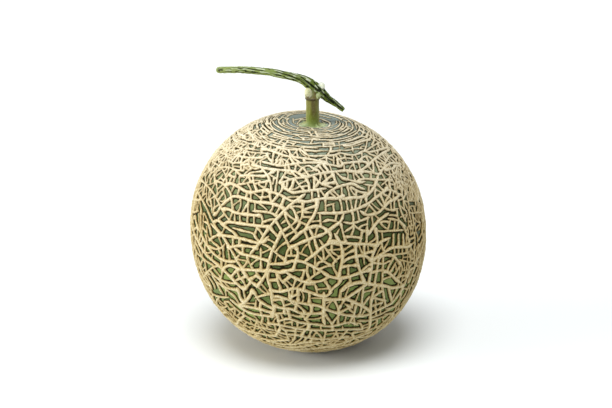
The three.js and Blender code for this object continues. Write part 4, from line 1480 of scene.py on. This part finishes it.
# Start, end and radius of the stubs: left of the stalk's top, right of it, and on top of the vine.
LEAF_STUB = ((-1.6, -1.4, 162.0), (-2.6, -3.0, 168.4), 2.35)
NODE_SWELLING = ((1.8, -0.7, 160.8), (5.6, -1.5, 166.6), 2.3)
CUT_SHOOT = ((4.9, 0.2, 166.0), (6.5, 0.5, 171.2), 2.3)
STUB_RINGS = 34
STUB_SIDES = 40


def make_stub(name, start, end, radius, node, material, seed):
    """A short stub from start to its domed end."""
    start, end = np.array(start), np.array(end)
    ahead = (end - start) / np.linalg.norm(end - start)
    side = normalised(np.cross([ahead], [[0.0, 1.0, 0.0]]))[0]
    front = np.cross(ahead, side)
    share = np.linspace(0, 1, STUB_RINGS)
    length = np.linalg.norm(end - start)
    bend = share * math.pi / 2
    width = radius * np.cos(bend) ** 0.55 * (1 + 0.15 * np.sin(share * 3))
    along = length * np.sin(bend)
    turn = np.linspace(0, 2 * math.pi, STUB_SIDES, endpoint=False)
    ring, angle = np.meshgrid(np.arange(STUB_RINGS), turn, indexing="ij")
    spot = np.stack([np.cos(angle) * 3, np.sin(angle) * 3, ring * 0.15], 2).reshape(-1, 3) + seed
    size = width[:, None] + 0.22 * (lattice_noise(spot, 1.1, seed) - 0.5).reshape(ring.shape)
    size = np.maximum(size, 0.05)
    points = (start + along[:, None, None] * ahead
              + side * (size * np.cos(angle))[..., None] + front * (size * np.sin(angle))[..., None])
    points = np.vstack([points.reshape(-1, 3), [start, end]])
    piece = new_piece(name, points, tube_faces(STUB_RINGS, STUB_SIDES), node, material)
    set_values(piece, "share", np.append(np.repeat(share, STUB_SIDES), [0, 1]))
    return piece


# ---------------------------------------------------------------- materials

def new_material(name):
    material = bpy.data.materials.new(name)
    material.use_nodes = True
    tree = material.node_tree
    return material, tree, tree.nodes["Principled BSDF"]


def add_node(tree, kind, inputs=None, **settings):
    made = tree.nodes.new("ShaderNode" + kind)
    for key, value in settings.items():
        setattr(made, key, value)
    for socket, value in (inputs or {}).items():
        if isinstance(value, bpy.types.NodeSocket):
            tree.links.new(value, made.inputs[socket])
        else:
            made.inputs[socket].default_value = value
    return made


def colour_ramp(tree, factor, stops):
    made = add_node(tree, "ValToRGB", {"Fac": factor})
    ramp = made.color_ramp
    while len(ramp.elements) < len(stops):
        ramp.elements.new(0.5)
    for element, (position, colour) in zip(ramp.elements, stops):
        element.position = position
        element.color = (*colour, 1)
    return made.outputs["Color"]


def mixed(tree, factor, first, second, blend="MIX"):
    inputs = {"Fac": factor, "Color1": first, "Color2": second}
    return add_node(tree, "MixRGB", inputs, blend_type=blend).outputs["Color"]


def tinted(tree, tone, tint):
    return mixed(tree, 1.0, tone, tint, "MULTIPLY")


def noise(tree, scale, detail=3.0, roughness=0.55):
    place = add_node(tree, "TexCoord").outputs["Object"]
    inputs = {"Vector": place, "Scale": scale, "Detail": detail, "Roughness": roughness}
    return add_node(tree, "TexNoise", inputs).outputs["Fac"]


def attribute(tree, name):
    return add_node(tree, "Attribute", attribute_name=name).outputs["Fac"]


def ranged(tree, value, low, high, new_low=0.0, new_high=1.0):
    inputs = {"Value": value, "From Min": low, "From Max": high, "To Min": new_low, "To Max": new_high}
    return add_node(tree, "MapRange", inputs).outputs["Result"]


def maths(tree, operation, first, second):
    return add_node(tree, "Math", {0: first, 1: second}, operation=operation).outputs[0]


def wavering(tree, scale, low, high, detail=3.0):
    """Noise that wavers between low and high."""
    return ranged(tree, noise(tree, scale, detail), 0.3, 0.7, low, high)


def set_look(tree, shader, tone, rough, gloss):
    tree.links.new(tone, shader.inputs["Base Color"])
    tree.links.new(rough, shader.inputs["Roughness"])
    shader.inputs["Specular IOR Level"].default_value = gloss


def add_bump(tree, shader, height, strength, distance):
    inputs = {"Height": height, "Strength": strength, "Distance": distance}
    tree.links.new(add_node(tree, "Bump", inputs).outputs["Normal"], shader.inputs["Normal"])


def cork_material():
    material, tree, shader = new_material("cork_net")
    wobble = wavering(tree, 700.0, -0.10, 0.10, 4.0)
    crest = maths(tree, "ADD", attribute(tree, "crest"), wobble)
    crown = attribute(tree, "crown")
    # By height over the skin: near black at the foot is painted shade where cord and skin meet, and the
    # brown sides are partly the cork's own browner colour, partly painted shade.
    tone = colour_ramp(tree, crest, [
        (0.0, (0.012, 0.012, 0.002)),
        (0.14, (0.018, 0.016, 0.003)),
        (0.30, (0.12, 0.080, 0.020)),
        (0.48, (0.40, 0.30, 0.13)),
        (0.75, (0.57, 0.49, 0.275)),
        (1.0, (0.69, 0.62, 0.42)),
    ])
    # Near the stalk the cork is painted paler and whiter: partly a paler crown, partly painted sheen from
    # the light above; its dark low end is painted shade between the rings.
    pale = colour_ramp(tree, crest, [
        (0.0, (0.035, 0.035, 0.014)),
        (0.18, (0.08, 0.062, 0.022)),
        (0.42, (0.50, 0.45, 0.30)),
        (0.75, (0.93, 0.90, 0.75)),
    ])
    tone = mixed(tree, crown, tone, pale)
    patches = ranged(tree, noise(tree, 45.0, 2.0), 0.3, 0.7)
    tone = mixed(tree, patches, tone, tinted(tree, tone, (0.95, 0.91, 0.84, 1)))
    grain = ranged(tree, noise(tree, 1500.0, 3.0, 0.7), 0.36, 0.62)
    tone = mixed(tree, grain, tinted(tree, tone, (0.66, 0.58, 0.44, 1)), tone)
    set_look(tree, shader, tone, wavering(tree, 900.0, 0.55, 0.8), 0.07)
    relief = maths(tree, "ADD", noise(tree, 1500.0, 4.0), noise(tree, 420.0, 2.0))
    add_bump(tree, shader, relief, 0.5, 0.00018)
    return material


def skin_material():
    material, tree, shader = new_material("green_skin")
    patches = ranged(tree, noise(tree, 32.0, 3.0), 0.32, 0.68)
    green = colour_ramp(tree, patches, [
        (0.0, (0.032, 0.048, 0.010)),
        (0.5, (0.053, 0.076, 0.015)),
        (1.0, (0.100, 0.130, 0.028)),
    ])
    specks = ranged(tree, noise(tree, 1400.0, 2.0, 0.6), 0.54, 0.68)
    green = mixed(tree, maths(tree, "MULTIPLY", specks, 0.25), green, (0.20, 0.25, 0.12, 1))
    crown = attribute(tree, "crown")
    # Towards the stalk the skin is painted paler and bluish grey: partly a paler crown, partly painted sheen
    # and sky reflection from above.
    shade = colour_ramp(tree, crown, [
        (0.0, (0.17, 0.21, 0.09)),
        (0.6, (0.38, 0.43, 0.27)),
        (1.0, (0.27, 0.32, 0.29)),
    ])
    green = mixed(tree, crown, green, shade)
    # Painted a lighter, bluer green towards the bottom: partly a paler blossom end, partly painted light
    # bounced up from the floor.
    green = mixed(tree, attribute(tree, "base"), green, tinted(tree, green, (2.1, 2.0, 2.3, 1)))
    # Painted shade: the skin is darkened beside each cord, where cord and skin meet, much less towards the
    # stalk.
    edge = ranged(tree, attribute(tree, "bareness"), 0.12, 0.62)
    crease_shade = mixed(tree, crown, (0.24, 0.24, 0.08, 1), (0.70, 0.67, 0.55, 1))
    green = mixed(tree, edge, tinted(tree, green, crease_shade), green)
    set_look(tree, shader, green, wavering(tree, 260.0, 0.36, 0.55), 0.12)
    add_bump(tree, shader, noise(tree, 520.0, 3.0), 0.35, 0.0002)
    return material


def stalk_material():
    material, tree, shader = new_material("waxy_stalk")
    climb = attribute(tree, "climb")
    green = colour_ramp(tree, climb, [
        (0.0, (0.19, 0.25, 0.07)),
        (0.2, (0.135, 0.17, 0.016)),
        (0.45, (0.14, 0.145, 0.014)),
        (0.72, (0.155, 0.145, 0.026)),
        (0.86, (0.21, 0.21, 0.075)),
        (1.0, (0.15, 0.19, 0.05)),
    ])
    brown = colour_ramp(tree, climb, [
        (0.0, (0.13, 0.14, 0.03)),
        (0.3, (0.085, 0.072, 0.012)),
        (1.0, (0.11, 0.08, 0.02)),
    ])
    band = maths(tree, "ADD", attribute(tree, "olive"), wavering(tree, 420.0, -0.12, 0.12))
    # Painted highlight: pale olive along the stalk's left and right edges.
    rim_highlight = maths(tree, "MULTIPLY", attribute(tree, "rim_highlight"), 0.75)
    tone = mixed(tree, rim_highlight, green, (0.38, 0.37, 0.15, 1))
    tone = mixed(tree, ranged(tree, band, 0.1, 0.8), tone, brown)
    tone = mixed(tree, ranged(tree, noise(tree, 900.0), 0.5, 0.8, 0.0, 0.4), tone, (0.25, 0.26, 0.10, 1))
    tone = mixed(tree, attribute(tree, "arms"), tone, (0.44, 0.52, 0.30, 1))
    tone = mixed(tree, attribute(tree, "burnt"), tone, (0.022, 0.009, 0.004, 1))
    set_look(tree, shader, tone, wavering(tree, 300.0, 0.38, 0.55), 0.25)
    add_bump(tree, shader, noise(tree, 900.0, 4.0), 0.4, 0.0002)
    return material


def vine_material():
    material, tree, shader = new_material("ribbed_vine")
    along = attribute(tree, "along")
    tone = colour_ramp(tree, along, [
        (0.0, (0.26, 0.32, 0.105)),
        (0.25, (0.21, 0.27, 0.075)),
        (0.5, (0.125, 0.17, 0.030)),
        (0.75, (0.080, 0.115, 0.016)),
        (1.0, (0.09, 0.14, 0.018)),
    ])
    lower = ranged(tree, attribute(tree, "upper"), 0.0, 0.35, 0.6, 0.0)
    tone = mixed(tree, lower, tone, (0.27, 0.29, 0.04, 1))
    dark = colour_ramp(tree, along, [
        (0.0, (0.020, 0.018, 0.006)),
        (0.1, (0.05, 0.065, 0.020)),
        (0.3, (0.015, 0.022, 0.004)),
        (0.55, (0.010, 0.017, 0.003)),
        (1.0, (0.004, 0.008, 0.001)),
    ])
    # Painted shade in the furrow, slit and cut end's middle, plus the vine's own dark streaks.
    hollow_shade_and_streaks = maths(tree, "ADD", attribute(tree, "hollow_shade_and_streaks"), wavering(tree, 1100.0, -0.15, 0.15))
    tone = mixed(tree, ranged(tree, hollow_shade_and_streaks, 0.15, 0.6), tone, dark)
    # Pale dashes, painted stronger on the top as a painted highlight.
    tone = mixed(tree, attribute(tree, "fleck_and_top_highlight"), tone, (0.66, 0.72, 0.54, 1))
    cut = maths(tree, "MULTIPLY", attribute(tree, "cut"), 0.35)
    tone = mixed(tree, cut, tone, (0.26, 0.34, 0.08, 1))
    set_look(tree, shader, tone, wavering(tree, 400.0, 0.4, 0.6), 0.12)
    add_bump(tree, shader, noise(tree, 1100.0, 4.0), 0.6, 0.0002)
    return material


def pale_material(name, light, dark):
    material, tree, shader = new_material(name)
    tone = mixed(tree, ranged(tree, noise(tree, 350.0, 3.0), 0.35, 0.65), (*dark, 1), (*light, 1))
    tone = mixed(tree, ranged(tree, noise(tree, 1600.0), 0.6, 0.75, 0.0, 0.4), tone, (0.30, 0.27, 0.12, 1))
    foot = maths(tree, "ADD", attribute(tree, "share"), wavering(tree, 700.0, -0.2, 0.2))
    tone = mixed(tree, ranged(tree, foot, 0.12, 0.30, 0.85, 0.0), tone, (0.085, 0.050, 0.015, 1))
    set_look(tree, shader, tone, wavering(tree, 500.0, 0.35, 0.5), 0.5)
    shader.inputs["Subsurface Weight"].default_value = 0.25
    shader.inputs["Subsurface Radius"].default_value = (1.0, 0.9, 0.5)
    shader.inputs["Subsurface Scale"].default_value = 0.0015
    add_bump(tree, shader, noise(tree, 900.0, 3.0), 0.3, 0.00015)
    return material


# ---------------------------------------------------------------- stage

def make_floor():
    size = 8.0
    mesh = bpy.data.meshes.new("floor")
    corners = [(-size, -size, 0), (size, -size, 0), (size, size, 0), (-size, size, 0)]
    mesh.from_pydata(corners, [], [(0, 1, 2, 3)])
    floor = bpy.data.objects.new("floor", mesh)
    material, _, shader = new_material("white_floor")
    shader.inputs["Base Color"].default_value = (0.905, 0.94, 0.945, 1)
    shader.inputs["Roughness"].default_value = 0.9
    mesh.materials.append(material)
    bpy.context.scene.collection.objects.link(floor)


def add_sun(name, toward, softness, strength):
    """Even light from the direction toward, from a patch of sky softness degrees wide."""
    sun = bpy.data.lights.new(name, "SUN")
    sun.angle = math.radians(softness)
    sun.energy = strength
    lamp = bpy.data.objects.new(name, sun)
    lamp.rotation_euler = Vector(toward).to_track_quat("Z", "Y").to_euler()
    bpy.context.scene.collection.objects.link(lamp)


def make_light():
    world = bpy.data.worlds.new("studio")
    world.use_nodes = True
    world.node_tree.nodes["Background"].inputs["Color"].default_value = (1, 1, 1, 1)
    world.node_tree.nodes["Background"].inputs["Strength"].default_value = 0.36
    bpy.context.scene.world = world
    add_sun("key", (-0.05, -0.36, 1.00), 36.0, 2.42)
    add_sun("low", (-0.60, -0.76, 0.05), 50.0, 0.30)
    add_sun("side", (-0.96, -0.20, 0.13), 34.0, 3.35)
    bpy.context.scene.view_settings.view_transform = "Standard"


def make_camera():
    camera = bpy.data.cameras.new("camera")
    camera.lens = CAMERA_LENS
    camera.sensor_width = SENSOR_WIDTH
    camera.shift_x, camera.shift_y = CAMERA_SHIFT
    holder = bpy.data.objects.new("camera", camera)
    tilt = math.radians(CAMERA_ELEVATION)
    middle = Vector((LEAN * WIDEST_LEVEL, 0, WIDEST_LEVEL))
    back = Vector((0, -math.cos(tilt), math.sin(tilt)))
    holder.location = (middle + back * CAMERA_DISTANCE) * MM
    holder.rotation_euler = (math.pi / 2 - tilt, 0, 0)
    bpy.context.scene.collection.objects.link(holder)
    bpy.context.scene.camera = holder


# ---------------------------------------------------------------- the melon

make_camera()
make_light()
make_floor()

cork = cork_material()
net = grow_net()
cords = with_joins(net.cords)
all_samples = cord_samples(cords)
make_skin(all_samples, skin_material())
crown_ball = Ball(CROWN_GRID, Ball.TOP_SIDE)
crown_samples = between(all_samples, 0, CROWN_REACH + CROWN_LAP)
make_cords("net_crown", crown_ball, net_ground(crown_ball), crown_samples, 24, CROWN_TRIANGLES, cork)
cord_ball = Ball(CORD_GRID)
cord_ground = net_ground(cord_ball)
for rank, name in enumerate(["net_long_cords", "net_branch_cords", "net_rungs"]):
    chosen = cord_samples([cord for cord in cords if cord[2] == rank])
    chosen = between(chosen, CROWN_REACH, math.inf)
    make_cords(name, cord_ball, cord_ground, chosen, 21 + rank, CORD_TRIANGLES, cork)

make_stalk(stalk_material())
make_vine(vine_material())
make_bristles(pale_material("bristle", (0.75, 0.78, 0.62), (0.55, 0.60, 0.40)))
knob = pale_material("pale_knob", (0.62, 0.60, 0.40), (0.45, 0.46, 0.24))
make_stub("leaf_stub", *LEAF_STUB, "leaf_stalk_stub", knob, 61)
node = pale_material("pale_node", (0.42, 0.47, 0.24), (0.28, 0.34, 0.12))
make_stub("node_swelling", *NODE_SWELLING, None, node, 63)
shoot = pale_material("white_shoot", (0.80, 0.82, 0.70), (0.66, 0.70, 0.52))
make_stub("cut_shoot", *CUT_SHOOT, "side_shoot_stub", shoot, 62)
